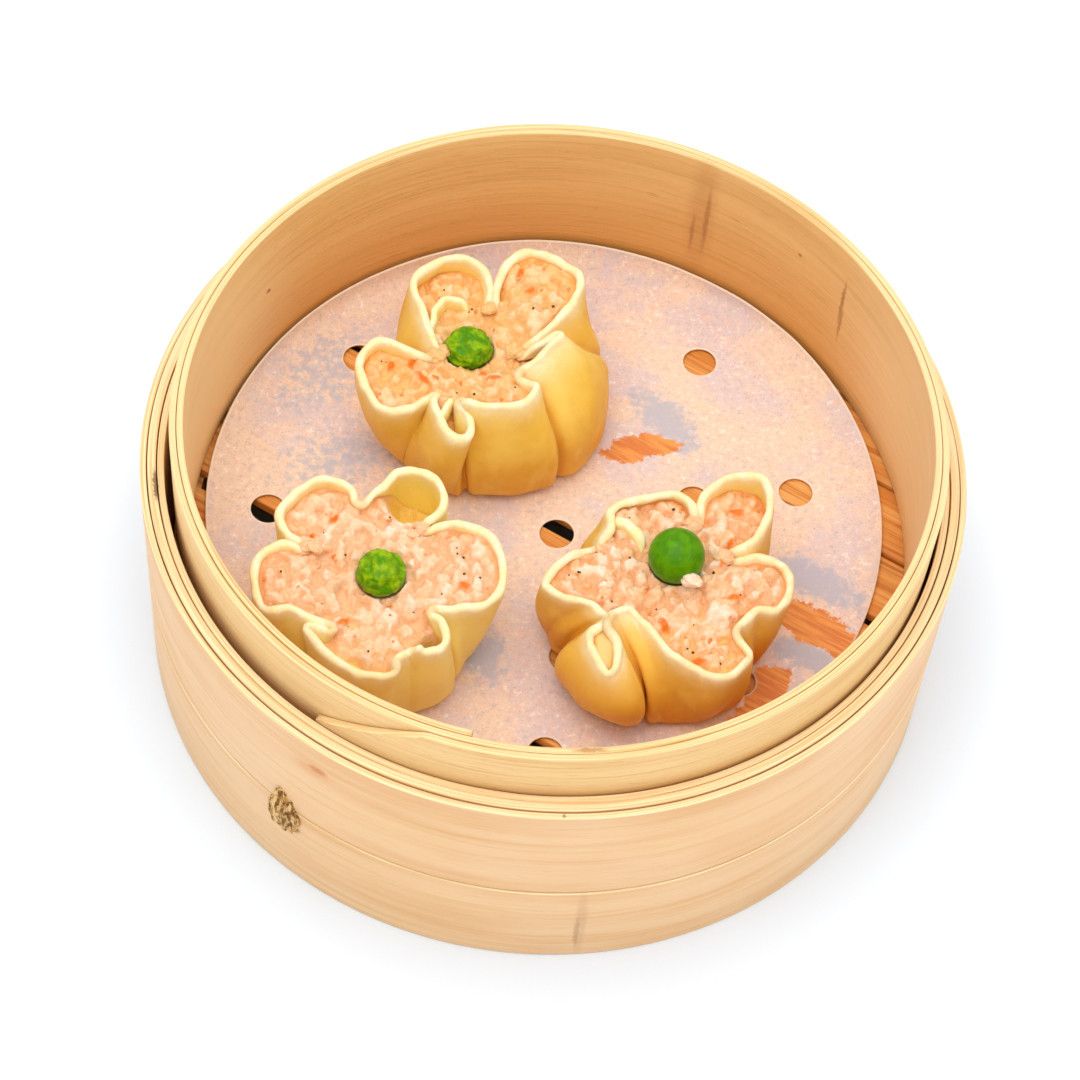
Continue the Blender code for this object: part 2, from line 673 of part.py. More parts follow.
def add_pea(name, shumai, material, collection):
    """A pea, round or shrunken with wrinkles."""
    shape = bmesh.new()
    bmesh.ops.create_uvsphere(shape, u_segments=PEA_SEGMENTS, v_segments=PEA_RINGS, radius=1.0)
    for vertex in shape.verts:
        spot = vertex.co * WRINKLE_SIZE + Vector((*shumai.axis, 0.0))
        dent = shumai.wrinkle * (0.5 + 0.5 * noise.noise(spot))
        vertex.co = Vector(
            (size - dent) * part for size, part in zip(shumai.pea_size, vertex.co)
        )
    mesh = bpy.data.meshes.new(name)
    shape.to_mesh(mesh)
    shape.free()
    pea = add_object(name, mesh, material, collection)
    pea.location = place_points(shumai, [shumai.pea_place])[0]
    pea.scale = (MM, MM, MM)
    smooth_shading(pea, PEA_SHARP)


def add_knot(material, collection):
    """The rough stub of a knot, pointed upwards, on the outer band."""
    shape = bmesh.new()
    bmesh.ops.create_icosphere(shape, subdivisions=2, radius=1.0)
    for vertex in shape.verts:
        point = vertex.co.copy()
        point.x *= 1.0 - KNOT_TAPER * max(0.0, point.z)
        point *= 1.0 + KNOT_ROUGHNESS * noise.noise(point * KNOT_LUMPS)
        vertex.co = Vector(size * part for size, part in zip(KNOT_SIZE, point))
    bmesh.ops.bisect_plane(
        shape,
        geom=shape.verts[:] + shape.edges[:] + shape.faces[:],
        plane_co=(0.0, KNOT_SINK, 0.0),
        plane_no=(0.0, -1.0, 0.0),
        clear_inner=True,
    )
    bmesh.ops.holes_fill(shape, edges=[edge for edge in shape.edges if edge.is_boundary])
    mesh = bpy.data.meshes.new("band_knot")
    shape.to_mesh(mesh)
    shape.free()
    knot = add_object("band_knot", mesh, material, collection)
    plan = direction_vector(KNOT_ANGLE) * (BAND_RADIUS + CONTACT)
    knot.location = (plan[0], plan[1], KNOT_HEIGHT)
    knot.rotation_euler = (0.0, 0.0, math.radians(KNOT_ANGLE + 90.0))


def main():
    clear_scene()
    parts = make_collection("shumai_in_steamer")
    pale = make_material("bamboo_pale", BAMBOO_PALE, 0.5)
    inside = make_material("bamboo_inside", BAMBOO_INSIDE, 0.5)
    floor = make_material("bamboo_floor", BAMBOO_FLOOR, 0.55)
    knot = make_material("bamboo_knot", BAMBOO_KNOT, 0.9)
    paper = make_material("paper", PAPER_COLOUR, 0.8)
    dough = make_material("dough", DOUGH_COLOUR, 0.4)
    filling = make_material("filling", FILLING_COLOUR, 0.45)
    pea = make_material("pea", PEA_COLOUR, 0.35)
    add_bands(pale, parts)
    add_inner_hoop(inside, parts)
    add_slats(floor, parts)
    add_floor_support(floor, parts)
    add_knot(knot, parts)
    add_paper(paper, parts)
    for name, shumai in SHUMAI.items():
        add_wrapper(f"wrapper_{name}", shumai, dough, parts)
        add_filling(f"filling_{name}", shumai, filling, parts)
        add_pea(f"pea_{name}", shumai, pea, parts)


main()
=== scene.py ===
"""Looks of the shumai in their bamboo steamer basket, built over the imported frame.

Lengths are in metres unless a name or a comment says millimetres. The basket's axis is the Z axis.
"""

import math
import random
from collections import namedtuple

import bmesh
import bpy
import numpy as np
from mathutils import Matrix, Vector, noise
from mathutils.geometry import delaunay_2d_cdt


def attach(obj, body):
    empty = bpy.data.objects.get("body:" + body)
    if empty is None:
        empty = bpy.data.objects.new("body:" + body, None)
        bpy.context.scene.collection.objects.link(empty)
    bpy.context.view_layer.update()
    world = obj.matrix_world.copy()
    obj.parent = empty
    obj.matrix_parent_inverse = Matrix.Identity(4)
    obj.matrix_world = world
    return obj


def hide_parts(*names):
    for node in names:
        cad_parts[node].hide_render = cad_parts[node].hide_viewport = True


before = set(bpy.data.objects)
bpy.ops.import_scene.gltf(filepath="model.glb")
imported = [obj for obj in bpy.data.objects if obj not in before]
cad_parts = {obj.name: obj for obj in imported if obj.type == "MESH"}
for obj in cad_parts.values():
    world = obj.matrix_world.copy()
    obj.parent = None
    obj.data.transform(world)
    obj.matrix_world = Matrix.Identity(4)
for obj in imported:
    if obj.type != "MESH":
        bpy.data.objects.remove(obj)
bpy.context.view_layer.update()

MM = 0.001
BODY = "root"

# Basket, the same sizes as in the solids
BAND_RADIUS = 75.0 * MM
STRIP_GAP = 0.15 * MM
OUTER_STRIP = 1.2 * MM
CORE_STRIP = 1.6 * MM
LINER_STRIP = 1.3 * MM
BAND_TOP = 52.0 * MM
BAND_STEP = 0.4 * MM
GROOVE_HEIGHT = 24.3 * MM
GROOVE_WIDTH = 0.5 * MM
HOOP_TOP = 63.0 * MM
HOOP_STRIP = 1.2 * MM
HOOP_PITCH = 1.32 * MM
HOOP_START_RADIUS = 67.04 * MM
HOOP_START_ANGLE = 262.0
HOOP_END_ANGLE = 239.0
HOOP_FULL_ANGLE = 256.0
HOOP_TURNS = 2
CONTACT = 0.3 * MM
SLAT_TOP = 26.3 * MM
SLAT_THICKNESS = 2.1 * MM
SLAT_DIRECTION = -27.0
SLAT_REACH = 69.8 * MM
SLAT_PITCH = 14.3 * MM
FIRST_GAP = -54.8 * MM
GAP_WIDTHS = [width * MM for width in (1.2, 3.0, 3.4, 3.2, 3.4, 2.2, 0.8, 0.8, 0.9)]
SLAT_OUTERMOST = 67.5 * MM
LEDGE_INNER = 66.4 * MM
LEDGE_OUTER = 70.3 * MM
LEDGE_BOTTOM = 12.0 * MM

# Finer making of the basket
RING_STEPS = 288
HOOP_COLUMNS = 720
BEVEL = 0.22 * MM
CORNER_STEPS = 3
SIDE_STEPS = 8
RIM_WAVE = 0.16 * MM
RIM_WAVE_SIZE = 9.0 * MM
SIDE_WAVE = 0.10 * MM
SIDE_WAVE_SIZE = 14.0 * MM
SLAT_COLUMNS = 48
SLAT_GROOVE = 0.22 * MM
SLAT_GROOVE_SIZE = (60.0 * MM, 1.1 * MM)
SLAT_ROWS = 26
SLAT_WAVE = 0.12 * MM
SLAT_WAVE_SIZE = (20.0 * MM, 10.0 * MM)
SHARP_ANGLE = math.radians(50.0)
DIP_POWER = 6
FIRST_TURN = 365.0

# Paper liner
PAPER_RADIUS = 64.0 * MM
PAPER_CENTRE = (-1.0 * MM, 5.9 * MM)
PAPER_THICKNESS = 0.3 * MM
PAPER_STEPS = 256
PAPER_GRID = 1.5 * MM
PAPER_BEND_START = 63.0 * MM
PAPER_BEND = 3.0 * MM
PAPER_RIPPLE = 0.5 * MM
PAPER_COCKLE = 0.2 * MM
PAPER_COCKLE_SIZE = 8.0 * MM
RIPPLE_START = 0.75 * PAPER_RADIUS
RIPPLE_WAVES = (5.0, 3.0)
RIPPLE_TURN = 0.7
HOLE_RADIUS = 3.25 * MM
HOLE_STEPS = 36
HOLE_RIM = 0.45 * MM
HOLE_CLEAR = 1.2 * MM
HOLES_CENTRE = (-2.5 * MM, 2.0 * MM)
MIDDLE_HOLE = (1.7 * MM, -0.6 * MM)
HOLE_RINGS = [
    (30.6 * MM, (15.5, 105.5, 195.5, 285.5)),
    (50.4 * MM, (14.2, 55.0, 96.0, 137.7, 183.9, 230.0, 276.7, 322.0)),
]

# Knot of the bamboo on the outer band
KNOT_ANGLE = 236.0
KNOT_HEIGHT = 22.8 * MM
KNOT_SIZE = (3.4 * MM, 1.9 * MM, 6.8 * MM)
KNOT_NARROW_TOP = 0.45
KNOT_WIDE_FOOT = 0.2
KNOT_FULLNESS = 0.94
KNOT_FURROWS = (0.24, (3.4, 2.0, 0.9))
KNOT_TEARS = (0.10, (7.0, 7.0, 3.0))
KNOT_FLAT_BACK = 0.4
FINE_BALL = 6

# Food, in millimetres from here on. A level is a share of the rim's height.
FOOD_BASE = SLAT_TOP + CONTACT + PAPER_THICKNESS + CONTACT
DOUGH = 1.3
DOUGH_EDGE = 1.6
PINCH_INWARDS = 0.6
SWAY_AT_PINCH = 0.4
PETAL_TURNS = (-90.0, -45.0, 0.0, 45.0, 90.0)
SAMPLES_PER_BEND = 9
WALL_ROWS = 34
WALL_RISE = 0.85
WALL_LAG = 5.0
CREASE_SHARPNESS = 2.5
FOOT_INSET = 2.0
FOOT_ROUND = 0.12
RIM_TURNS = (25.0, 50.0, 75.0, 105.0, 130.0, 155.0)
RIM_FADE = 2.7
RIM_UNEVEN = 0.35
RIM_UNEVEN_SIZE = 2.6
RUFFLE = 0.6
RUFFLE_SIZE = 3.2
WRINKLE = 0.38
WRINKLE_SIZE = (4.5, 4.5, 11.0)
FINE_WRINKLE = 0.07
FINE_WRINKLE_SIZE = 1.7
THICKENING_LEVEL = 0.75
FOOT_FADE = 0.9
GOLDEN_FADE = (2.0, 20.0)
GOLDEN_LOSS = 0.6

FILLING_OVERLAP = 0.15
FILLING_ROW_LEVELS = (0.2, 0.5, 0.8)
FILLING_ROW_MOST = (0.4, 0.7, 0.92)
FILLING_BELOW_RIM = 1.0
OUTLINE_ROUNDS = 5
PETAL_CENTRE = 0.75
NARROW_PETAL = 12.2
POCKET_REACH = 0.43
POCKET_STEEPNESS = 4
LEVEL_BLEND = 4
LUMP = 0.7
LUMP_SIZE = 4.0
FILLING_REACH = 30.0
FILLING_GRID = 0.32
EDGE_CLEAR = 0.2
EDGE_FADE = 1.8
EDGE_DROP = 0.3
CHUNK_TRIES = 2500
CHUNK_WIDTHS = (0.55, 0.95)
CHUNK_MIDDLE = 1.1
CHUNK_WARP = 0.8
CHUNK_WARP_SIZE = 1.5
GRAIN_HEIGHT = 0.12
GRAIN_SIZE = 0.7
BIT_RISE = 0.35
COVER_LUMPS = 3
COVER_INWARDS = 2.4
COVER_SPREAD = 5.0
COVER_WIDTHS = (1.2, 1.9)
COVER_SHAPE = (1.0, 0.85, 0.55)
COVER_TONES = (0.6, 1.0)
COVER_DROP = 0.3
BIT_PEA_CLEAR = 1.3
BIT_RIM_CLEAR = 1.6
BIT_COUNT = 22
BIT_WIDTHS = (0.18, 0.36)
BIT_LENGTHS = (1.0, 2.4)
BIT_FLATNESS = 0.7
BIT_ORANGE = (0.3, 0.9)
SPECK_COUNT = 14
SPECK_WIDTHS = (0.14, 0.28)
PEA_ROOM = 0.3
PEA_DENT = 1.8
PEA_PIT = 1.4
PEA_SKIN = 0.03
PLAIN_PEA = 0.8
CHUNK_FADE = 1.2
CHUNK_EDGES = (0.3, 1.3)
NEAR_WALL = 2.4
SUNK_FADE = (1.5, 6.0)

# Where a bit and a stain fade, as shares of their size
BIT_FADE = (0.5, 1.25)
STAIN_FADE = (0.0, 2.0)

# Chunks of the mince, large then small: spacing, shortest and longest half length, rise, firmness
CHUNK_LAYERS = ((2.1, 1.2, 2.3, 0.95, 6.0), (1.0, 0.5, 1.0, 0.6, 10.0))

# A petal's slant and tilt move its two ends out and up or down. Its swell is a share of the bulge,
# and its sway leans its wall sideways over the next crease. A pinch's depth is a share of the crease.
# A shumai's golden share is how deep its dough's colour gets lower down.
Petal = namedtuple(
    "Petal",
    "direction reach width shoulder tip side corner shift foot level slant tilt swell sway",
    defaults=(0.0, 0.0, 1.0, 0.0),
)
Pinch = namedtuple("Pinch", "direction radius height foot_direction depth", defaults=(1.0,))
Shumai = namedtuple("Shumai", "axis folds bulge crease pea_place pea_size wrinkle level golden")

BACK_SHUMAI = Shumai(
    axis=(-12.0, 25.0),
    folds=[
        (Petal(275, 16.4, 12.5, 13.5, 26.3, 26.0, 0.8, -0.8, 19.2, 23.4, -1.9), Pinch(301, 8.2, 23.6, 312)),
        (
            Petal(341, 10.2, 3.5, 7.8, 27.8, 26.2, 1.0, 3.4, 20.2, 22.5, -0.4, 0.0, 0.3),
            Pinch(338, 4.1, 22.6, 22),
        ),
        (
            Petal(66, 20.5, 15.0, 13.5, 27.0, 26.0, 0.6, 0.0, 20.0, 25.6, 0.0, 0.0, 0.8),
            Pinch(106, 9.5, 22.4, 106),
        ),
        (Petal(135, 21.5, 15.5, 14.0, 26.0, 25.0, 0.9, 0.0, 20.0, 21.6), Pinch(196, 13.0, 22.4, 178)),
        (
            Petal(206, 27.0, 16.5, 21.0, 22.5, 23.5, 0.75, 0.0, 21.0, 20.6),
            Pinch(231, 17.5, 24.0, 226, 0.3),
        ),
        (
            Petal(246, 22.9, 8.2, 18.6, 23.2, 24.2, 1.1, 3.0, 20.6, 17.0, 0.0, -0.5),
            Pinch(247, 16.3, 24.4, 258),
        ),
    ],
    bulge=1.8,
    crease=1.2,
    pea_place=(-6.1, -1.0, 22.0),
    pea_size=(4.6, 4.3, 3.8),
    wrinkle=0.55,
    level=21.8,
    golden=0.75,
)

LEFT_SHUMAI = Shumai(
    axis=(-29.0, -26.0),
    folds=[
        (
            Petal(5, 21.7, 18.0, 13.5, 22.0, 23.0, 0.8, 0.0, 17.0, 21.4, 0.0, 0.0, 0.5),
            Pinch(57, 11.8, 20.4, 50),
        ),
        (Petal(75, 20.3, 12.0, 15.0, 24.5, 23.0, 1.0, 0.0, 18.5, 11.0), Pinch(111, 14.6, 21.8, 108)),
        (Petal(141, 21.2, 15.0, 15.6, 23.3, 23.0, 0.8, 0.0, 18.5, 21.2), Pinch(168, 14.3, 21.4, 168)),
        (Petal(194, 22.5, 14.0, 16.5, 20.5, 22.0, 0.8, 0.0, 18.5, 20.6), Pinch(242, 15.4, 21.2, 234)),
        (
            Petal(259, 19.8, 16.6, 16.3, 18.0, 21.8, 1.0, 3.4, 18.4, 18.6, 0.7),
            Pinch(293, 17.8, 20.8, 292, 0.4),
        ),
        (Petal(307, 19.8, 6.4, 17.2, 21.4, 22.8, 1.0, 0.0, 18.6, 4.0, -1.4), Pinch(318, 14.0, 23.4, 322)),
    ],
    bulge=1.2,
    crease=1.0,
    pea_place=(0.3, -1.6, 21.8),
    pea_size=(4.5, 4.5, 4.0),
    wrinkle=0.5,
    level=20.5,
    golden=0.0,
)

RIGHT_SHUMAI = Shumai(
    axis=(22.5, -20.0),
    folds=[
        (
            Petal(355, 21.5, 12.0, 16.0, 21.0, 21.0, 0.9, 0.0, 17.4, 20.8, 0.0, 0.0, 0.4),
            Pinch(20, 11.3, 21.2, 14),
        ),
        (Petal(49, 23.6, 13.0, 15.5, 26.5, 23.5, 1.15, 0.5, 18.0, 21.2), Pinch(69, 11.0, 21.4, 72)),
        (Petal(115, 14.6, 16.0, 10.5, 23.5, 23.0, 0.7, 0.0, 17.5, 21.2), Pinch(165, 14.6, 20.2, 163)),
        (Petal(197, 22.8, 11.2, 16.0, 21.2, 22.2, 1.5, -0.8, 20.3, 20.4, -0.6), Pinch(228, 16.9, 22.4, 206)),
        (
            Petal(236, 23.7, 5.0, 19.35, 19.5, 21.2, 1.0, 4.2, 21.4, 15.0, -0.95, 0.0, 1.7, 5.5),
            Pinch(232, 16.4, 22.4, 260, 1.3),
        ),
        (
            Petal(287, 22.0, 19.3, 13.4, 18.4, 20.9, 1.4, 4.6, 19.9, 18.8, 6.0, -1.1, 0.8),
            Pinch(319, 17.0, 20.0, 322),
        ),
    ],
    bulge=1.6,
    crease=1.4,
    pea_place=(0.7, 1.4, 23.0),
    pea_size=(5.1, 5.1, 5.1),
    wrinkle=0.0,
    level=20.8,
    golden=1.0,
)

SHUMAI = {"back": BACK_SHUMAI, "left": LEFT_SHUMAI, "right": RIGHT_SHUMAI}

# How far the edges of painted marks are shaken, and the size of that noise, in millimetres
MARK_SHAKE = 0.45
MARK_SHAKE_SIZE = 0.8

# Studio: each light has a name, a place and a power
LIGHTS = [
    ("key", (-0.1, 0.0, 1.0), 4.8),
    ("fill_front", (-0.1, -0.55, 1.0), 2.7),
    ("fill_right", (0.9, -0.2, 0.5), 1.2),
]
LIGHT_SIZE = 0.9
LIT_PLACE = (0.0, 0.0, 0.04)
WORLD_STRENGTH = 0.7
FLOOR_REACH = 3.0
FLOOR_CLEAR = 0.1 * MM

# Camera, solved from the photo's circles. Its angles are in radians.
CAMERA_PLACE = (-1.322 * MM, -313.892 * MM, 488.051 * MM)
CAMERA_DOWN = 0.97672
CAMERA_ROLL = 0.09905
CAMERA_LENS = 98.776
CAMERA_SENSOR = 36.0


def linear(red, green, blue):
    """A screen colour, 0 to 255 per channel, as a shader wants it."""
    found = []
    for value in (red, green, blue):
        share = value / 255.0
        found.append(share / 12.92 if share <= 0.04045 else ((share + 0.055) / 1.055) ** 2.4)
    return (*found, 1.0)


class Graph:
    """The nodes of one material, added by short calls. Coordinates are in millimetres."""

    def __init__(self, name):
        self.material = bpy.data.materials.new(name)
        self.material.use_nodes = True
        tree = self.material.node_tree
        self.nodes = tree.nodes
        self.links = tree.links
        self.shader = tree.nodes["Principled BSDF"]
        self.colour = None
        self.place = self.vector("SCALE", self.add("TexCoord").outputs["Object"], Scale=1.0 / MM)

    def put(self, value, socket):
        if isinstance(value, bpy.types.NodeSocket):
            self.links.new(value, socket)
        else:
            socket.default_value = value

    def fill(self, node, named):
        for name, value in named.items():
            self.put(value, node.inputs[name.replace("_", " ")])

    def add(self, kind, *values, **named):
        """A new node with values or links on its first inputs and on the named ones."""
        node = self.nodes.new(f"ShaderNode{kind}")
        for value, socket in zip(values, node.inputs):
            self.put(value, socket)
        self.fill(node, named)
        return node

    def math(self, operation, first, second, third=0.0):
        node = self.add("Math", first, second, third)
        node.operation = operation
        return node.outputs[0]

    def vector(self, operation, *values, **named):
        node = self.add("VectorMath", *values)
        node.operation = operation
        self.fill(node, named)
        return node.outputs["Value" if operation == "LENGTH" else "Vector"]

    def noise(self, vector, scale=1.0, detail=3.0, roughness=0.55, output="Fac"):
        node = self.add("TexNoise", Vector=vector, Scale=scale, Detail=detail, Roughness=roughness)
        return node.outputs[output]

    def ring_noise(self, along, across, detail=3.0, roughness=0.55, slope=2.3):
        """Noise that is drawn out round the basket and fine up and across its strips."""
        x, y, z = self.add("SeparateXYZ", self.place).outputs
        flat = self.vector("LENGTH", self.add("CombineXYZ", x, y, 0.0).outputs[0])
        unrolled = self.add("CombineXYZ", x, y, self.math("MULTIPLY_ADD", flat, slope, z)).outputs[0]
        stretched = self.vector("MULTIPLY", unrolled, (along, along, across))
        return self.noise(stretched, 1.0, detail, roughness)

    def slat_noise(self, along, across, detail=3.0, roughness=0.55):
        """The same along the slats."""
        turned = self.add("Mapping", self.place, Rotation=(0.0, 0.0, math.radians(-SLAT_DIRECTION)))
        stretched = self.vector("MULTIPLY", turned.outputs[0], (along, across, across))
        return self.noise(stretched, 1.0, detail, roughness)

    def span(self, value, low, high, start=0.0, end=1.0):
        """From start to end as the value goes from low to high."""
        node = self.add("MapRange", value, low, high, start, end)
        node.interpolation_type = "SMOOTHSTEP"
        return node.outputs[0]

    def mix(self, share, first, second):
        node = self.add("Mix")
        node.data_type = "RGBA"
        for value, index in ((share, 0), (first, 6), (second, 7)):
            self.put(value, node.inputs[index])
        return node.outputs[2]

    def blend(self, value, low, high, first, second):
        """From the first screen colour to the second as the value goes from low to high."""
        return self.mix(self.span(value, low, high), linear(*first), linear(*second))

    def cover(self, share, tint):
        """Mixes a screen colour into the colour so far."""
        self.colour = self.mix(share, self.colour, linear(*tint))

    def paint(self, share, strength, tint):
        self.cover(self.math("MULTIPLY", share, strength), tint)

    def tint(self, value, low, high, strength, tint):
        self.cover(self.span(value, low, high, 0.0, strength), tint)

    def marks(self, marks):
        """Paints ellipsoids with rough edges: colour, centre, half lengths, turn, softness, strength."""
        uneven = self.noise(self.place, 1.0 / MARK_SHAKE_SIZE, 2.0, output="Color")
        shake = self.vector("SCALE", self.vector("SUBTRACT", uneven, (0.5,) * 3), Scale=2.0 * MARK_SHAKE)
        shaken = self.vector("ADD", self.place, shake)
        for tint, centre, sizes, turn, soft, strength in marks:
            node = self.add("Mapping", shaken, centre, (0.0, 0.0, math.radians(turn)), sizes)
            node.vector_type = "TEXTURE"
            reach = self.vector("LENGTH", node.outputs[0])
            self.paint(self.span(reach, 1.0 - soft, 1.0 + soft, 1.0, 0.0), strength, tint)

    def attribute(self, name):
        node = self.add("Attribute")
        node.attribute_name = name
        return node.outputs["Fac"]

    def finish(self, roughness, *bumps, **values):
        """Sets the colour, the roughness, plain values and bumps of (height, depth in millimetres)."""
        normal = {}
        for height, depth in bumps:
            normal = {"Normal": self.add("Bump", Distance=depth * MM, Height=height, **normal).outputs[0]}
        self.fill(self.shader, {"Base_Color": self.colour, "Roughness": roughness, **values, **normal})
        return self.material


def on_ring(angle, radius_mm, height_mm):
    """A place on the basket in millimetres."""
    turn = math.radians(angle)
    return (radius_mm * math.cos(turn), radius_mm * math.sin(turn), height_mm)


def finish_ring(graph, grains, tints, edge, marks, roughness, fine_depth):
    """Adds grain, cut edges, marks and bumps to the colour of a bent strip."""
    medium, fine, dash = (graph.ring_noise(*grain) for grain in grains)
    for grain, tint in zip((medium, fine, dash), tints):
        graph.tint(grain, *tint)
    edge_colour = graph.blend(graph.ring_noise(0.03, 1.0, slope=6.0), *edge)
    graph.colour = graph.mix(graph.attribute("edge"), graph.colour, edge_colour)
    graph.marks(marks)
    roughness = graph.span(medium, 0.3, 0.7, *roughness)
    return graph.finish(roughness, (medium, 0.12), (fine, fine_depth), Specular_IOR_Level=0.4)


def band_material():
    """Pale bamboo of the outer band, with its grain running round the basket."""
    graph = Graph("bamboo_band")
    graph.colour = graph.blend(graph.ring_noise(0.012, 0.16), 0.35, 0.65, (236, 195, 145), (229, 180, 126))
    graph.tint(graph.noise(graph.place, 0.03, 2.0), 0.4, 0.7, 0.5, (239, 203, 162))
    grains = [(0.02, 0.9, 4.0, 0.6), (0.05, 4.2, 3.0, 0.6), (0.22, 5.0, 2.0)]
    tints = [
        (0.5, 0.72, 0.45, (222, 168, 104)),
        (0.52, 0.75, 0.35, (214, 158, 98)),
        (0.66, 0.74, 0.4, (190, 130, 76)),
    ]
    edge = (0.4, 0.68, (253, 230, 182), (236, 186, 120))
    return finish_ring(graph, grains, tints, edge, BAND_MARKS, (0.42, 0.6), 0.07)


BAND_MARKS = [
    ((196, 112, 52), on_ring(241.9, 75.0, 44.4), (1.7, 1.4, 0.9), 331.9, 0.5, 0.85),
    ((222, 152, 88), on_ring(241.0, 75.0, 43.6), (3.4, 2.0, 1.7), 331.0, 0.7, 0.5),
    ((160, 92, 34), on_ring(237.6, 75.0, 18.0), (1.5, 1.6, 1.3), 327.0, 0.35, 0.9),
    ((196, 150, 106), on_ring(279.7, 75.0, 12.0), (1.0, 2.0, 10.5), 9.7, 0.5, 0.35),
    ((170, 122, 82), on_ring(279.3, 75.0, 9.0), (0.45, 2.0, 5.5), 9.3, 0.4, 0.4),
    ((130, 84, 46), on_ring(275.6, 74.3, 51.8), (0.4, 0.35, 0.5), 5.0, 0.4, 0.7),
    ((92, 56, 30), on_ring(192.5, 72.2, 52.0), (0.5, 3.2, 1.0), 12.5, 0.4, 0.8),
]


def hoop_material():
    """The inner hoop: warm inside, paler outside, and yellow on its cut edges. Inside it has painted shade,
    darker towards the bottom, and painted light, lighter at the left and the right.
    """
    graph = Graph("bamboo_hoop")
    broad = graph.ring_noise(0.012, 0.14)
    height = graph.add("SeparateXYZ", graph.place).outputs[2]
    pale = graph.blend(broad, 0.38, 0.62, (242, 206, 148), (232, 188, 122))
    # Painted shade: the inside is darker and warmer towards the bottom, deep in the basket.
    graph.colour = graph.blend(height, 27.0, 62.0, (230, 168, 90), (246, 202, 132))
    graph.tint(broad, 0.38, 0.66, 0.5, (226, 168, 96))
    graph.colour = graph.mix(graph.attribute("inside"), pale, graph.colour)
    grains = [(0.018, 1.1, 4.0, 0.62), (0.045, 4.5, 3.0, 0.6), (0.18, 4.2, 2.0)]
    tints = [
        (0.48, 0.72, 0.4, (204, 144, 74)),
        (0.5, 0.75, 0.32, (192, 130, 62)),
        (0.64, 0.73, 0.45, (168, 106, 50)),
    ]
    edge = (0.42, 0.7, (251, 222, 164), (228, 176, 104))
    return finish_ring(graph, grains, tints, edge, HOOP_MARKS_AND_PAINTED_LIGHT, (0.4, 0.58), 0.08)


# The first two are painted light: the inside wall is lighter at the left and the right, where more light
# falls. The rest are marks of the bamboo.
HOOP_MARKS_AND_PAINTED_LIGHT = [
    ((255, 222, 164), on_ring(176.0, 66.5, 46.0), (36.0, 14.0, 26.0), 86.0, 0.6, 0.75),
    ((255, 222, 168), on_ring(8.0, 66.5, 46.0), (34.0, 14.0, 26.0), 98.0, 0.6, 0.65),
    ((186, 112, 52), on_ring(69.5, 66.5, 49.0), (2.6, 2.0, 15.0), 159.5, 0.6, 0.3),
    ((150, 84, 36), on_ring(68.4, 66.5, 47.0), (0.5, 2.0, 9.0), 158.4, 0.5, 0.45),
    ((150, 84, 36), on_ring(70.6, 66.5, 42.0), (0.4, 2.0, 5.0), 160.6, 0.5, 0.4),
    ((160, 100, 42), on_ring(40.2, 66.6, 49.5), (0.45, 2.0, 5.6), 130.0, 0.5, 0.7),
    ((168, 108, 48), on_ring(39.7, 66.6, 43.5), (0.4, 2.0, 4.4), 130.0, 0.5, 0.65),
    ((150, 70, 30), on_ring(148.6, 66.5, 46.6), (0.6, 2.0, 0.45), 238.6, 0.4, 0.8),
    ((150, 88, 44), on_ring(50.5, 66.5, 52.0), (0.5, 2.0, 0.45), 140.5, 0.4, 0.6),
    ((178, 112, 44), on_ring(278.8, 68.3, 63.0), (2.6, 0.4, 1.0), 8.8, 0.5, 0.7),
]


def slat_material():
    """Orange-tan slats with grooves and long fibres."""
    graph = Graph("bamboo_slat")
    medium = graph.slat_noise(0.03, 1.1, 4.0, 0.6)
    fine = graph.slat_noise(0.08, 4.0)
    graph.colour = graph.blend(graph.slat_noise(0.015, 0.2, 2.0), 0.4, 0.62, (238, 166, 84), (222, 138, 52))
    graph.tint(medium, 0.48, 0.68, 0.75, (176, 98, 34))
    graph.cover(graph.span(medium, 0.3, 0.44, 0.6, 0.0), (246, 190, 112))
    graph.tint(fine, 0.52, 0.74, 0.5, (160, 84, 28))
    roughness = graph.span(medium, 0.3, 0.7, 0.45, 0.62)
    return graph.finish(roughness, (medium, 0.2), (fine, 0.08), Specular_IOR_Level=0.4)


def knot_material():
    """Brown and straw-coloured torn fibres."""
    graph = Graph("bamboo_knot_stub")
    fibres = graph.noise(graph.vector("MULTIPLY", graph.place, (1.3, 1.3, 0.45)), 1.0, 3.0, 0.6)
    graph.colour = graph.blend(fibres, 0.42, 0.6, (232, 192, 128), (122, 78, 28))
    graph.tint(graph.noise(graph.place, 0.6, 2.0), 0.52, 0.62, 0.7, (184, 136, 62))
    return graph.finish(graph.span(fibres, 0.3, 0.7, 0.75, 0.95), (fibres, 0.5))


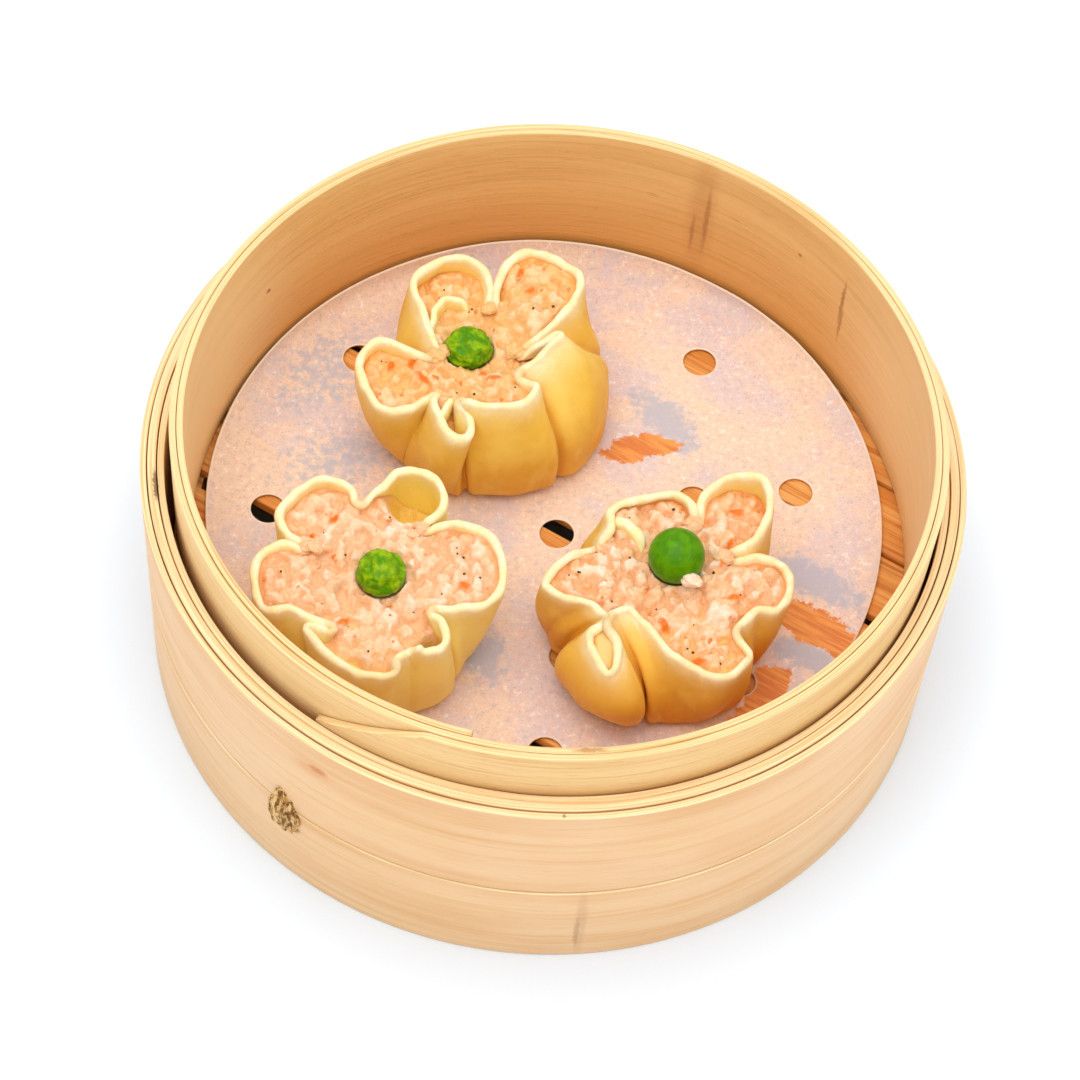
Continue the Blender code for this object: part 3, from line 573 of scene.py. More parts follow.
def paper_material():
    """Thin pale paper: mottled, grey where damp, and orange where soaked on the slats."""
    graph = Graph("liner_paper")
    cloud = graph.noise(graph.place, 0.06, 3.0, 0.6)
    mottle = graph.noise(graph.place, 0.9, 4.0, 0.7)
    speck = graph.noise(graph.place, 2.6, 2.0, 0.6)
    pink = graph.noise(graph.vector("ADD", graph.place, (40.0, 0.0, 0.0)), 0.45, 3.0, 0.65)
    graph.colour = graph.blend(cloud, 0.42, 0.58, (242, 214, 190), (226, 206, 202))
    graph.tint(pink, 0.5, 0.7, 0.55, (240, 198, 176))
    graph.tint(mottle, 0.52, 0.68, 0.6, (202, 188, 188))
    graph.tint(speck, 0.56, 0.7, 0.5, (190, 164, 158))
    graph.cover(graph.span(mottle, 0.3, 0.45, 0.75, 0.0), (254, 242, 230))
    shaken = graph.math("MULTIPLY_ADD", graph.noise(graph.place, 0.55, 3.0, 0.65), 1.5, -0.75)
    damp = graph.span(graph.math("ADD", graph.attribute("damp"), shaken), 0.25, 0.75)
    graph.paint(damp, 0.75, (180, 184, 200))
    wet = graph.math("ADD", graph.attribute("soaked"), graph.math("MULTIPLY", shaken, 0.7))
    soaked = graph.span(wet, 0.45, 0.58)
    wood = graph.blend(graph.slat_noise(0.1, 1.2), 0.42, 0.62, (238, 156, 62), (218, 120, 30))
    graph.colour = graph.mix(graph.math("MULTIPLY", soaked, 0.92), graph.colour, wood)
    graph.cover(graph.attribute("edge"), (252, 236, 214))
    roughness = graph.span(soaked, 0.0, 1.0, 0.8, 0.5)
    return graph.finish(roughness, (mottle, 0.06), (speck, 0.03), Specular_IOR_Level=0.25)


def scatter(weight, radius, scale_mm):
    """The shader's values for light that scatters under the surface."""
    return {"Subsurface_Weight": weight, "Subsurface_Radius": radius, "Subsurface_Scale": scale_mm * MM}


def dough_material():
    """Steamed yellow dough, pale at its thin rims and golden inside and low down."""
    graph = Graph("steamed_dough")
    cloud = graph.noise(graph.place, 0.09, 3.0, 0.5)
    patch = graph.noise(graph.vector("MULTIPLY", graph.place, (0.22, 0.22, 0.12)), 1.0, 3.0)
    fine = graph.noise(graph.place, 1.4, 3.0, 0.6)
    light = graph.blend(cloud, 0.36, 0.64, (254, 222, 112), (249, 208, 86))
    deep = graph.blend(cloud, 0.36, 0.64, (224, 152, 26), (212, 136, 12))
    graph.colour = graph.mix(graph.attribute("golden"), light, deep)
    graph.tint(patch, 0.48, 0.68, 0.4, (250, 208, 96))
    graph.paint(graph.attribute("inside"), 0.85, (254, 220, 112))
    # Painted light on the shaded left wrapper and on the right one's lobe, and peach dough in the right
    # one's slit.
    graph.marks(DOUGH_MARKS_AND_PAINTED_LIGHT)
    pale = graph.blend(fine, 0.4, 0.65, (254, 241, 204), (252, 232, 178))
    uneven = graph.span(graph.noise(graph.place, 0.35, 2.0), 0.38, 0.62, 0.72, 1.0)
    rim = graph.math("MULTIPLY", graph.math("POWER", graph.attribute("rim"), 1.9), uneven)
    graph.colour = graph.mix(rim, graph.colour, pale)
    # Painted shade: the dough is darker and more golden in its creases.
    graph.paint(graph.span(graph.attribute("crease"), 0.7, 1.0), 0.35, (214, 142, 40))
    graph.paint(graph.attribute("foot"), 0.55, (206, 132, 40))
    roughness = graph.span(fine, 0.3, 0.7, 0.38, 0.52)
    inner_glow = scatter(0.25, (1.0, 0.7, 0.25), 1.2)
    return graph.finish(roughness, (patch, 0.15), (fine, 0.05), Specular_IOR_Level=0.2, **inner_glow)


# Painted light: the left wrapper, whose front wall is in shade, is painted paler than the others and the
# inside of its empty fold yellower; the right one's front lobe is painted brighter. The last mark is the
# peach dough in its slit.
DOUGH_MARKS_AND_PAINTED_LIGHT = [
    ((255, 240, 150), (-29.0, -26.0, 36.0), (26.0, 26.0, 30.0), 0.0, 0.2, 0.4),
    ((255, 236, 118), (-24.6, -9.4, 44.0), (6.5, 6.5, 14.0), 0.0, 0.4, 0.7),
    ((254, 200, 76), (10.5, -38.0, 40.0), (9.0, 9.0, 15.0), 0.0, 0.5, 0.5),
    ((244, 204, 140), (11.9, -37.0, 46.0), (1.8, 4.8, 4.0), 0.0, 0.3, 0.75),
]


def filling_material():
    """Minced filling: peach, pink and cream chunks with orange bits and dark specks."""
    graph = Graph("minced_filling")
    tone = graph.attribute("tone")
    fine = graph.noise(graph.place, 2.2, 3.0, 0.6)
    cream = graph.noise(graph.place, 1.1, 3.0, 0.6)
    blush = graph.noise(graph.place, 0.3, 3.0, 0.6)
    graph.colour = graph.blend(tone, 0.25, 0.5, (252, 224, 196), (248, 206, 164))
    graph.tint(tone, 0.5, 0.75, 1.0, (245, 188, 136))
    graph.tint(cream, 0.52, 0.68, 0.45, (253, 226, 194))
    graph.tint(blush, 0.52, 0.66, 0.5, (243, 172, 114))
    # Painted shade: darker orange in the crevices between the chunks.
    graph.paint(graph.attribute("deep"), 0.65, (232, 158, 92))
    # Painted shade: darker orange near the dough wall, in the recess where the filling meets it.
    graph.paint(graph.attribute("low"), 0.75, (232, 142, 50))
    graph.marks(FILLING_MARKS)
    # Where the filling sinks deep it is painted the dough's yellow, partly as painted light against the
    # shade of the pocket.
    graph.cover(graph.attribute("sunk"), (254, 216, 112))
    graph.cover(graph.attribute("orange"), (238, 122, 14))
    graph.cover(graph.attribute("dark"), (88, 50, 24))
    roughness = graph.span(fine, 0.3, 0.7, 0.3, 0.5)
    inner_glow = scatter(0.15, (1.0, 0.6, 0.3), 0.8)
    return graph.finish(roughness, (cream, 0.2), (fine, 0.12), Specular_IOR_Level=0.4, **inner_glow)


# The back filling is yellower than the others, the left one paler
FILLING_MARKS = [
    ((248, 190, 84), (-12.0, 25.0, 48.0), (26.0, 26.0, 40.0), 0.0, 0.2, 0.38),
    ((252, 214, 176), (-29.0, -26.0, 48.0), (26.0, 26.0, 40.0), 0.0, 0.2, 0.2),
]


def pea_material(name, bright, dark, depth):
    """Green skin. The wrinkled pea has painted shade, darker in its dents and pits, so it is lighter on its
    raised parts.
    """
    graph = Graph(name)
    patch = graph.noise(graph.place, 0.5, 3.0, 0.6)
    folds = graph.noise(graph.place, 1.1, 2.0, 0.5)
    skin = graph.blend(patch, 0.35, 0.65, bright, dark)
    # Painted shade: darker where the skin is not raised.
    graph.colour = graph.mix(graph.attribute("raised"), linear(*dark), skin)
    roughness = graph.span(folds, 0.3, 0.7, 0.2, 0.34)
    inner_glow = scatter(0.15, (0.4, 1.0, 0.05), 1.0)
    return graph.finish(roughness, (folds, depth), Specular_IOR_Level=0.14, **inner_glow)


def floor_material():
    """White, and made to glow further out as painted light. Near the basket it is a little darker, a painted
    soft shadow, with a cool tint that offsets the bamboo's warm reflection.
    """
    graph = Graph("studio_floor")
    reach = graph.vector("LENGTH", graph.place)
    far = graph.span(reach, 80.0, 125.0)
    white = graph.mix(graph.noise(graph.place, 0.01, 2.0), linear(248, 248, 248), linear(251, 251, 251))
    graph.colour = graph.mix(far, linear(234, 243, 250), white)
    glow = graph.mix(far, (0.0, 0.03, 0.2, 1.0), (1.0, 1.0, 1.0, 1.0))
    glow = graph.mix(graph.span(reach, 74.5, 76.5), (0.0, 0.0, 0.0, 1.0), glow)
    return graph.finish(0.9, Emission_Color=glow, Emission_Strength=0.14, Specular_IOR_Level=0.1)


def new_object(name, data):
    made = bpy.data.objects.new(name, data)
    bpy.context.scene.collection.objects.link(made)
    return made


def add_piece(name, points, faces, material, nodes, layers=None):
    """A mesh that rides on the body and stands for CAD nodes."""
    mesh = bpy.data.meshes.new(name)
    mesh.from_pydata([tuple(point) for point in points], [], faces)
    mesh.materials.append(material)
    mesh.shade_smooth()
    for key, values in (layers or {}).items():
        layer = mesh.attributes.new(key, "FLOAT", "POINT")
        layer.data.foreach_set("value", np.clip(np.asarray(values, dtype=np.float32), 0.0, 1.0))
    piece = new_object(name, mesh)
    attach(piece, BODY)
    if nodes:
        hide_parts(*nodes)
    return piece


def direction_vector(degrees):
    return np.array([math.cos(math.radians(degrees)), math.sin(math.radians(degrees))])


def directions(degrees):
    """A direction in plan and the one to its left."""
    along = direction_vector(degrees)
    return along, np.array([-along[1], along[0]])


def smoothstep(low, high, value):
    part = np.clip((np.asarray(value, float) - low) / (high - low), 0.0, 1.0)
    return part * part * (3.0 - 2.0 * part)


def ellipse_reach(points, centre, length, width, direction):
    """How far points lie from the middle of an ellipse of these half lengths: 1 is its edge."""
    along, across = directions(direction)
    offset = points - np.array(centre)
    return np.hypot(offset @ along / length, offset @ across / width)


def strongest(points, ellipses, near, far):
    """The strongest ellipse at each point. Each fades from near to far times its size."""
    strength = np.zeros(len(points))
    for x, y, length, width, direction, *most in ellipses:
        reach = ellipse_reach(points, (x, y), length, width, direction)
        share = 1.0 - smoothstep(near, far, reach)
        strength = np.maximum(strength, most[0] * share if most else share)
    return strength


def noise_at(points, size, seed=0.0):
    """Noise between about -1 and 1 at each point, with features of this size."""
    shift = Vector((seed, seed * 1.7, -seed))
    return np.array([noise.noise(Vector(point) / size + shift) for point in points])


def row_faces(rows, count, closed=True):
    """Quads that join each row of points to the next. Closed rows are rings."""
    faces = []
    for start in range(0, (rows - 1) * count, count):
        for step in range(count if closed else count - 1):
            after = start + (step + 1) % count
            faces.append((start + step, after, after + count, start + step + count))
    return faces


def fan_faces(start, centre, count):
    return [(start + step, start + (step + 1) % count, centre) for step in range(count)]


def moved_faces(faces, start):
    """The same faces over points that come after this many others."""
    return [tuple(start + corner for corner in face) for face in faces]


def rounded_section(inner, outer, bottom, top):
    """A closed section, (across, height, edge), with rounded corners and points up its sides."""
    corners = [
        (outer - BEVEL, bottom + BEVEL, -90.0, 0.0),
        (outer - BEVEL, top - BEVEL, 0.0, 1.0),
        (inner + BEVEL, top - BEVEL, 90.0, 1.0),
        (inner + BEVEL, bottom + BEVEL, 180.0, 0.0),
    ]
    section = []
    for index, (across, height, start, edge) in enumerate(corners):
        for step in range(CORNER_STEPS + 1):
            turn = start + 90.0 * step / CORNER_STEPS
            point = np.array([across, height]) + BEVEL * direction_vector(turn)
            section.append((point[0], point[1], edge))
        if index in (0, 2):
            side = outer if index == 0 else inner
            heights = np.linspace(bottom + 2.0 * BEVEL, top - 2.0 * BEVEL, SIDE_STEPS)
            for height in heights if index == 0 else heights[::-1]:
                section.append((side, height, 0.0))
    return section


def add_turned(name, inner, outer, bottom, top, material, slot, seed):
    """A hoop with rounded edges, its top a little uneven and its sides not quite true."""
    section = rounded_section(inner, outer, bottom, top)
    points = []
    edges = []
    for step in range(RING_STEPS):
        plan = direction_vector(360.0 * step / RING_STEPS)
        spot = Vector((*(plan * outer), 0.0))
        dip = RIM_WAVE * (0.5 + 0.5 * noise.noise(spot / RIM_WAVE_SIZE + Vector((0.0, 0.0, seed))))
        for across, height, edge in section:
            share = (height - bottom) / (top - bottom)
            place = Vector((*(plan * across), height)) / SIDE_WAVE_SIZE
            sink = SIDE_WAVE * (0.5 + 0.5 * noise.noise(place + Vector((seed, 0.0, 0.0))))
            radius = across - sink * (across - inner) / (outer - inner)
            points.append((*(plan * radius), height - dip * share**DIP_POWER))
            edges.append(edge)
    count = len(section)
    faces = row_faces(RING_STEPS, count)
    last = (RING_STEPS - 1) * count
    for step in range(count):
        following = (step + 1) % count
        faces.append((last + step, last + following, following, step))
    return add_piece(name, points, faces, material, [name_of_node(name)], {"edge": edges})


def name_of_node(name):
    """A piece that stands for one node has the node's name with the ending _fine."""
    return name.removesuffix("_fine")


def add_basket(band, floor):
    outer_inner = BAND_RADIUS - OUTER_STRIP
    core_outer = outer_inner - STRIP_GAP
    core_inner = core_outer - CORE_STRIP
    liner_outer = core_inner - STRIP_GAP
    liner_inner = liner_outer - LINER_STRIP
    groove_top = GROOVE_HEIGHT + GROOVE_WIDTH / 2
    groove_bottom = GROOVE_HEIGHT - GROOVE_WIDTH / 2
    low_top = BAND_TOP - BAND_STEP
    rings = [
        ("band_upper_fine", outer_inner, BAND_RADIUS, groove_top, low_top, band, "bamboo_pale"),
        ("band_lower_fine", outer_inner, BAND_RADIUS, 0.0, groove_bottom, band, "bamboo_pale"),
        ("band_core_fine", core_inner, core_outer, 0.0, BAND_TOP, band, "bamboo_pale"),
        ("band_liner_fine", liner_inner, liner_outer, 0.0, low_top, band, "bamboo_pale"),
        (
            "floor_ledge_fine", LEDGE_INNER, LEDGE_OUTER, LEDGE_BOTTOM,
            SLAT_TOP - SLAT_THICKNESS - CONTACT, floor, "bamboo_floor",
        ),
    ]
    for seed, ring in enumerate(rings, start=1):
        add_turned(*ring, seed)


def add_hoop(material):
    """The wound strip with rounded edges. Its last stretch is cut down on the slant."""
    bottom = SLAT_TOP + CONTACT
    half = HOOP_STRIP / 2
    sweep = HOOP_TURNS * 360.0 + HOOP_START_ANGLE - HOOP_END_ANGLE
    cut = HOOP_FULL_ANGLE - HOOP_END_ANGLE
    section = rounded_section(-half, half, 0.0, HOOP_TOP - bottom)
    points = []
    edges = []
    insides = []
    for column in range(HOOP_COLUMNS + 1):
        turned = sweep * column / HOOP_COLUMNS
        plan = direction_vector(HOOP_START_ANGLE - turned)
        middle = HOOP_START_RADIUS + HOOP_PITCH * turned / 360.0
        left = min(1.0, (sweep - turned) / cut)
        top = BAND_TOP + (HOOP_TOP - BAND_TOP) * left
        spot = Vector((*(plan * middle), turned / 360.0 * RIM_WAVE_SIZE))
        dip = RIM_WAVE * (0.5 + 0.5 * noise.noise(spot / RIM_WAVE_SIZE))
        for across, rise, edge in section:
            share = rise / (HOOP_TOP - bottom)
            below_top = (HOOP_TOP - bottom - rise) * (top - bottom) / (HOOP_TOP - bottom)
            height = top - below_top if edge == 0.0 else bottom + rise - (HOOP_TOP - top)
            points.append((*(plan * (middle + across)), height - dip * share**DIP_POWER))
            edges.append(edge)
            insides.append(float(across < 0.0 and turned < FIRST_TURN))
    count = len(section)
    faces = row_faces(HOOP_COLUMNS + 1, count)
    faces.append(tuple(range(count))[::-1])
    faces.append(tuple(HOOP_COLUMNS * count + step for step in range(count)))
    layers = {"edge": edges, "inside": insides}
    add_piece("inner_hoop_fine", points, faces, material, ["inner_hoop"], layers)


def add_slats(material):
    """Grooved slats with eased edges, their ends cut to the round of the basket."""
    gaps = [FIRST_GAP + SLAT_PITCH * index for index in range(len(GAP_WIDTHS))]
    lows = [-SLAT_OUTERMOST] + [gap + width / 2 for gap, width in zip(gaps, GAP_WIDTHS)]
    highs = [gap - width / 2 for gap, width in zip(gaps, GAP_WIDTHS)] + [SLAT_OUTERMOST]
    along, across = directions(SLAT_DIRECTION)
    bottom = SLAT_TOP - SLAT_THICKNESS
    rows = SLAT_COLUMNS + 1
    top_faces = row_faces(rows, SLAT_ROWS, closed=False)
    start = rows * SLAT_ROWS
    for number, (low, high) in enumerate(zip(lows, highs), start=1):
        offsets = np.linspace(low, high, SLAT_ROWS)
        offsets[1] = low + BEVEL
        offsets[-2] = high - BEVEL
        upper = []
        under = []
        for column in range(SLAT_COLUMNS + 1):
            share = 2.0 * column / SLAT_COLUMNS - 1.0
            for row, offset in enumerate(offsets):
                reach = share * math.sqrt(SLAT_REACH**2 - offset**2)
                plan = along * reach + across * offset
                groove, wave = (
                    noise.noise(Vector((reach / long, offset / wide, number)))
                    for long, wide in (SLAT_GROOVE_SIZE, SLAT_WAVE_SIZE)
                )
                drop = SLAT_GROOVE * max(0.0, groove) + SLAT_WAVE * (0.5 + 0.5 * wave)
                if row in (0, SLAT_ROWS - 1):
                    drop += BEVEL
                upper.append((*plan, SLAT_TOP - drop))
                under.append((*plan, bottom))
        faces = [face[::-1] for face in top_faces]
        faces += moved_faces(top_faces, start)
        for column in range(SLAT_COLUMNS):
            for row in (0, SLAT_ROWS - 1):
                first = column * SLAT_ROWS + row
                second = first + SLAT_ROWS
                faces.append((first, second, second + start, first + start))
        for column in (0, SLAT_COLUMNS):
            for row in range(SLAT_ROWS - 1):
                first = column * SLAT_ROWS + row
                faces.append((first, first + 1, first + 1 + start, first + start))
        name = f"slat_{number}"
        slat = add_piece(f"{name}_fine", upper + under, faces, material, [name])
        recalculate_normals(slat)
        slat.data.set_sharp_from_angle(angle=SHARP_ANGLE)


def recalculate_normals(piece):
    shape = bmesh.new()
    shape.from_mesh(piece.data)
    bmesh.ops.recalc_face_normals(shape, faces=shape.faces)
    shape.to_mesh(piece.data)
    shape.free()


def dress_bars(material):
    """The two floor bars keep their CAD meshes and get eased edges."""
    for name in ("floor_bar_1", "floor_bar_2"):
        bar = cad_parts[name]
        for slot in bar.material_slots:
            slot.material = material
        ease = bar.modifiers.new("Eased edges", "BEVEL")
        ease.width = BEVEL
        ease.segments = 2


def add_knot(material):
    """A torn stub: a rough leaf-shaped core with furrows and tears that run up it."""
    plan = direction_vector(KNOT_ANGLE) * BAND_RADIUS
    turn = Matrix.Rotation(math.radians(KNOT_ANGLE + 90.0), 4, "Z")
    place = Matrix.Translation((*plan, KNOT_HEIGHT)) @ turn
    round_points, faces = ball(FINE_BALL)
    points = []
    for point in map(Vector, round_points):
        point.x *= 1.0 - KNOT_NARROW_TOP * max(0.0, point.z) + KNOT_WIDE_FOOT * max(0.0, -point.z)
        size = KNOT_FULLNESS
        for depth, scales in (KNOT_FURROWS, KNOT_TEARS):
            size += depth * noise.noise(point * Vector(scales))
        point *= size
        point.y = min(max(point.y, -1.0), KNOT_FLAT_BACK)
        points.append(place @ (point * Vector(KNOT_SIZE)))
    add_piece("knot_stub", points, faces, material, ["band_knot"])


def circle_points(centre, radius, steps):
    angles = [360.0 * step / steps for step in range(steps)]
    return [np.array(centre) + radius * direction_vector(angle) for angle in angles]


def hole_centres():
    centres = [np.array(MIDDLE_HOLE)]
    for radius, angles in HOLE_RINGS:
        centres += [np.array(HOLES_CENTRE) + radius * direction_vector(angle) for angle in angles]
    return np.array(centres)


def paper_point(plan, height):
    """Where a point of the flat sheet lies: it ripples near its edge and curls up the back wall."""
    radius = float(np.linalg.norm(plan))
    angle = math.atan2(plan[1], plan[0])
    edge = float(smoothstep(RIPPLE_START, PAPER_RADIUS, radius))
    fine = math.sin(RIPPLE_WAVES[0] * angle + RIPPLE_TURN)
    wave = 0.5 + 0.5 * fine * math.cos(RIPPLE_WAVES[1] * angle)
    cockle = noise.noise(Vector((plan[0], plan[1], 0.0)) / PAPER_COCKLE_SIZE)
    lift = PAPER_RIPPLE * edge * wave + PAPER_COCKLE * max(0.0, cockle)
    excess = radius - PAPER_BEND_START
    if excess > 0.0:
        turn = min(excess / PAPER_BEND, math.pi / 2)
        straight = max(0.0, excess - PAPER_BEND * math.pi / 2)
        lift += PAPER_BEND * (1.0 - math.cos(turn)) + straight
        plan = plan / radius * (PAPER_BEND_START + PAPER_BEND * math.sin(turn))
    return (plan[0], plan[1], height + lift)


def triangulate(loops, inner_points, keep):
    """Points and triangles of the area between closed loops, where the centre of each is kept."""
    points = [Vector(point) for loop in loops for point in loop]
    edges = []
    start = 0
    for loop in loops:
        count = len(loop)
        edges += [(start + step, start + (step + 1) % count) for step in range(count)]
        start += count
    points += [Vector(point) for point in inner_points]
    found = delaunay_2d_cdt(points, edges, [], 0, 1e-7)
    corners = np.array([tuple(point) for point in found[0]])
    faces = np.array(found[2])
    kept = keep(corners[faces].mean(axis=1))
    return corners, [tuple(int(corner) for corner in face) for face in faces[kept]]


def grid_points(centre, radius, spacing):
    """A triangular grid over a disc."""
    rows = int(radius / spacing) + 2
    steps = np.arange(-rows, rows + 1)
    columns, lines = np.meshgrid(steps, steps)
    shift = 0.5 * (lines % 2)
    found = np.stack([(columns + shift) * spacing, lines * spacing * math.sqrt(0.75)], axis=-1)
    found = found.reshape(-1, 2)
    return found[np.linalg.norm(found, axis=1) < radius] + np.array(centre)


def distance_to(points, centres):
    """From each point to the nearest centre."""
    return np.linalg.norm(points[:, None, :] - centres[None, :, :], axis=2).min(axis=1)


# Stains of the paper: place in millimetres, half lengths along and across, direction, strength
SOAKED = [
    (15.2, 21.0, 6.2, 2.8, 20.0, 1.2),
    (20.5, 22.2, 3.6, 1.8, 10.0, 1.0),
    (50.5, -15.5, 8.5, 3.6, -27.0, 1.2),
    (57.0, -20.5, 5.5, 3.0, -40.0, 1.1),
    (42.5, -30.0, 5.0, 3.6, 60.0, 1.2),
    (42.0, -35.5, 5.6, 3.0, 20.0, 1.1),
]
DAMP = [
    (20.5, 28.0, 8.5, 4.0, -50.0, 1.0),
    (50.5, -5.5, 9.5, 3.6, -25.0, 1.0),
    (51.0, -22.5, 8.5, 3.0, -20.0, 1.0),
    (-9.5, -29.0, 4.2, 6.0, 10.0, 0.8),
    (-45.0, 32.0, 14.0, 9.0, 60.0, 0.6),
    (-40.0, 12.0, 14.0, 8.0, 30.0, 0.6),
    (44.5, -33.0, 6.0, 4.0, 0.0, 0.8),
    (10.0, -34.0, 9.0, 4.0, 0.0, 0.5),
]


def add_paper(material):
    holes = hole_centres()
    outline = circle_points(PAPER_CENTRE, PAPER_RADIUS, PAPER_STEPS)
    within = circle_points(PAPER_CENTRE, PAPER_RADIUS - HOLE_RIM, PAPER_STEPS)
    loops = [outline, within]
    for hole in holes:
        loops.append(circle_points(hole, HOLE_RADIUS, HOLE_STEPS))
        loops.append(circle_points(hole, HOLE_RADIUS + HOLE_RIM, HOLE_STEPS))
    grid = grid_points(PAPER_CENTRE, PAPER_RADIUS - HOLE_CLEAR, PAPER_GRID)
    grid = grid[distance_to(grid, holes) > HOLE_RADIUS + HOLE_CLEAR]

    def is_paper(points):
        return distance_to(points, holes) > HOLE_RADIUS * math.cos(math.pi / HOLE_STEPS) - 0.01 * MM

    corners, faces = triangulate(loops, grid, is_paper)
    height = SLAT_TOP + CONTACT + PAPER_THICKNESS / 2
    points = [paper_point(corner, height) for corner in corners]
    to_hole = distance_to(corners, holes) - HOLE_RADIUS
    to_rim = PAPER_RADIUS - np.linalg.norm(corners - np.array(PAPER_CENTRE), axis=1)
    layers = {
        "edge": 1.0 - smoothstep(0.0, HOLE_RIM, np.minimum(to_hole, to_rim)),
        "soaked": strongest(corners / MM, SOAKED, *STAIN_FADE),
        "damp": strongest(corners / MM, DAMP, *STAIN_FADE),
    }
    sheet = add_piece("paper_sheet", points, faces, material, ["paper_liner"], layers)
    recalculate_normals(sheet)
    thicken = sheet.modifiers.new("Sheet", "SOLIDIFY")
    thicken.thickness = PAPER_THICKNESS
    thicken.offset = 0.0


def rim_stations(shumai):
    """Rim points: x, y, height, foot direction, foot radius, crease, bulge and sway."""
    stations = []
    previous = shumai.folds[-1][1].foot_direction - 360.0
    for petal, pinch in shumai.folds:
        along, across = directions(petal.direction)
        following = previous + (pinch.foot_direction - previous) % 360.0
        for step, turn in enumerate(PETAL_TURNS, start=1):
            outward = abs(math.cos(math.radians(turn))) ** petal.corner
            sideways = math.copysign(abs(math.sin(math.radians(turn))) ** petal.corner, turn)
            shoulder = petal.shoulder + petal.slant * sideways
            distance = shoulder + (petal.reach - shoulder) * outward
            offset = petal.width / 2 * sideways + petal.shift * outward
            plan = along * distance + across * offset
            side = petal.side + petal.tilt * sideways
            height = side + (petal.tip - side) * outward
            part = step / (len(PETAL_TURNS) + 1)
            foot_direction = previous + (following - previous) * part
            bulge = shumai.bulge * petal.swell
            sway = petal.sway * (0.5 + 0.5 * math.sin(math.radians(turn)))
            stations.append([plan[0], plan[1], height, foot_direction, petal.foot, 0.0, bulge, sway])
        plan = direction_vector(pinch.direction) * pinch.radius
        made = [plan[0], plan[1], pinch.height, following, petal.foot, pinch.depth, shumai.bulge]
        stations.append(made + [SWAY_AT_PINCH * petal.sway])
        previous = following
    return np.array(stations)


def between(first, second, start, end, at):
    return (first * (end - at) + second * (at - start)) / (end - start)


def closed_spline(stations, samples):
    """Centripetal Catmull-Rom through closed stations, whose foot direction gains a full turn."""
    count = len(stations)
    full_turn = np.array([0.0, 0.0, 0.0, 360.0, 0.0, 0.0, 0.0, 0.0])
    columns = []
    for index in range(count):
        wrapped = range(index - 1, index + 3)
        p = [stations[step % count] + full_turn * (step // count) for step in wrapped]
        t = [0.0]
        for step in range(3):
            t.append(t[-1] + math.sqrt(np.linalg.norm(p[step + 1][:3] - p[step][:3])))
        for sample in range(samples):
            at = t[1] + (t[2] - t[1]) * sample / samples
            a = [between(p[k], p[k + 1], t[k], t[k + 1], at) for k in range(3)]
            b = [between(a[k], a[k + 1], t[k], t[k + 2], at) for k in range(2)]
            columns.append(between(b[0], b[1], t[1], t[2], at))
    return np.array(columns)


def wall_plan(shumai, columns, level):
    """The middle of the wall at a level: the plan goes from the round foot to the rim."""
    angles = np.radians(columns[:, 3])
    outward = np.stack([np.cos(angles), np.sin(angles)], axis=1)
    crease = np.clip(columns[:, 5:6], 0.0, None) ** CREASE_SHARPNESS
    foot = outward * (columns[:, 4:5] - shumai.crease * crease)
    middle = math.sin(math.pi * level)
    bulge = columns[:, 6:7] * middle * (1.0 - 0.5 * np.clip(crease, 0.0, 1.0))
    inset = FOOT_INSET * max(0.0, 1.0 - level / FOOT_ROUND) ** 2
    drawn_in = 1.0 - np.linalg.norm(columns[:, :2], axis=1, keepdims=True) / columns[:, 4:5]
    rise = level ** (WALL_RISE + WALL_LAG * np.clip(drawn_in, 0.0, 1.0))
    sideways = np.stack([-outward[:, 1], outward[:, 0]], axis=1) * columns[:, 7:8] * middle
    return foot * (1.0 - rise) + columns[:, :2] * rise + outward * (bulge - inset) + sideways


def wall_middle(shumai, columns, level):
    """The middle of the wall with its wrinkles, and its outward normal in plan."""
    plan = wall_plan(shumai, columns, level)
    tangent = np.roll(plan, -1, axis=0) - np.roll(plan, 1, axis=0)
    tangent /= np.linalg.norm(tangent, axis=1, keepdims=True)
    normal = np.stack([tangent[:, 1], -tangent[:, 0]], axis=1)
    crease = np.clip(columns[:, 5:6], 0.0, 1.0) ** CREASE_SHARPNESS
    places = np.column_stack([plan, columns[:, 2] * level])
    broad = noise_at(places / np.array(WRINKLE_SIZE), 1.0, shumai.axis[0])
    fine = noise_at(places, FINE_WRINKLE_SIZE, shumai.axis[1])
    shift = WRINKLE * broad + FINE_WRINKLE * fine
    return plan + normal * (shift[:, None] - PINCH_INWARDS * crease), normal


def wall_columns(shumai):
    """The columns of the wall, all round, with an uneven rim."""
    columns = closed_spline(rim_stations(shumai), SAMPLES_PER_BEND)
    places = np.column_stack([columns[:, :2], np.zeros(len(columns))])
    uneven = noise_at(places, RUFFLE_SIZE, shumai.axis[0]) + 0.5 * noise_at(places, RUFFLE_SIZE / 2)
    columns[:, 2] += RUFFLE * (uneven - 0.2)
    return columns


def place_points(shumai, points):
    """Millimetres round the dumpling's axis become metres in the basket."""
    placed = np.array(points, float)
    placed[:, :2] += shumai.axis
    placed *= MM
    placed[:, 2] += FOOD_BASE
    return placed


